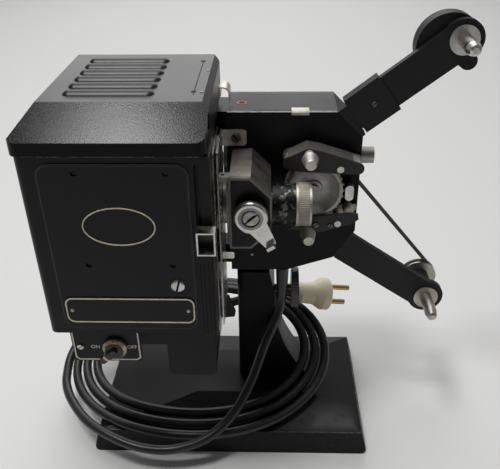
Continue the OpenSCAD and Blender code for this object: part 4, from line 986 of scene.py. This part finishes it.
# %% Trim on the roof
SEAM, SEAM_R, SEAM_THICK = (-10.95, -54.5, -10.45, 4.6), 0.2, 0.05
NOTCH_X0, NOTCH_X1, NOTCH_R, NOTCH_THICK = -12.2, -9.6, 0.5, 0.08
NOTCHES_Y, NOTCH_HALF = (3.2, -49.2), 1.4
seam = Trim("roof_seam")
seam.plate(round_rect(*SEAM, SEAM_R, 2), ROOF_Z, SEAM_THICK, pit_black, "up")
# Each notch is painted black, painted shade.
for y in NOTCHES_Y:
    notch = round_rect(NOTCH_X0, y - NOTCH_HALF, NOTCH_X1, y + NOTCH_HALF, NOTCH_R, 3)
    seam.plate(notch, ROOF_Z, NOTCH_THICK, pit_black, "up")
seam.finish("roof")

# %% [markdown]
# The switch words are set as text, turned into a mesh, and only then stood up against the plate.

# %% Switch words
WORDS_Z = 114.2
WORD_RAISED = 0.06 * MM
WORD_BOLD = 0.05 * MM


def word(text, x, height):
    curve = bpy.data.curves.new("switch_word_" + text.lower(), "FONT")
    curve.body = text
    curve.size = height * MM
    curve.extrude = WORD_RAISED
    curve.offset = WORD_BOLD
    curve.align_x = "CENTER"
    curve.align_y = "CENTER"
    source = bpy.data.objects.new(curve.name, curve)
    scene.collection.objects.link(source)
    mesh = bpy.data.meshes.new_from_object(source.evaluated_get(bpy.context.evaluated_depsgraph_get()))
    bpy.data.objects.remove(source)
    place = Matrix.Translation(Vector((x, PLATE_Y, WORDS_Z)) * MM)
    mesh.transform(place @ Matrix.Rotation(math.pi / 2, 4, "X"))
    mesh.materials.clear()
    mesh.materials.append(inlay)
    made = bpy.data.objects.new(curve.name, mesh)
    scene.collection.objects.link(made)
    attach(made, "head")


word("ON", -73.4, 3.4)
word("OFF", -52.1, 3.3)
print("switch words set")

# %% [markdown]
# The floor is a plain pale sheet. A small lamp panel hangs to the front and left, and gives the roof's slope
# its bright middle. A wider one overhead lights the louvres, and the widest stands behind and above, so the
# upward faces of black lacquer catch pale sheets of light while the faces towards the camera stay dark. The
# sky itself is brighter behind than in front for the same reason.

# %% Floor and light
FLOOR_HALF = 3
FLOOR_DROP = 0.2 * MM
SKY_MEAN, SKY_BACK = 0.20, 0.17
floor_mesh = bmesh.new()
bmesh.ops.create_grid(floor_mesh, x_segments=1, y_segments=1, size=FLOOR_HALF)
floor_finish = Finish("pale_floor")
floor = piece("floor", floor_mesh, [floor_finish.close((0.80, 0.795, 0.785), 0.8)])
floor.location.z = -FLOOR_DROP


def area_light(name, at, aim, size, power):
    light = bpy.data.lights.new(name, "AREA")
    light.energy = power
    light.size = size
    made = bpy.data.objects.new(name, light)
    made.location = at
    made.rotation_euler = (Vector(aim) - Vector(at)).to_track_quat("-Z", "Y").to_euler()
    scene.collection.objects.link(made)


area_light("ceiling_panel", (-0.345, -0.34, 1.5), (-0.05, -0.05, 0.2), 0.25, 8)
area_light("top_panel", (-0.15, 0.2, 1.6), (-0.03, 0, 0.2), 0.8, 6.5)
area_light("back_panel", (-0.1, 1.6, 1.25), (0, 0, 0.2), 1.5, 12.5)
world = bpy.data.worlds.new("studio")
world.use_nodes = True
sky = world.node_tree
direction = sky.nodes.new("ShaderNodeTexCoord")
split = sky.nodes.new("ShaderNodeSeparateXYZ")
sky.links.new(direction.outputs["Generated"], split.inputs[0])
glow = Wire(sky, split.outputs[1]) * SKY_BACK + SKY_MEAN
sky.links.new(glow.socket, sky.nodes["Background"].inputs[1])
sky.nodes["Background"].inputs[0].default_value = (0.97, 0.98, 1.0, 1)
scene.world = world
print("lights set")
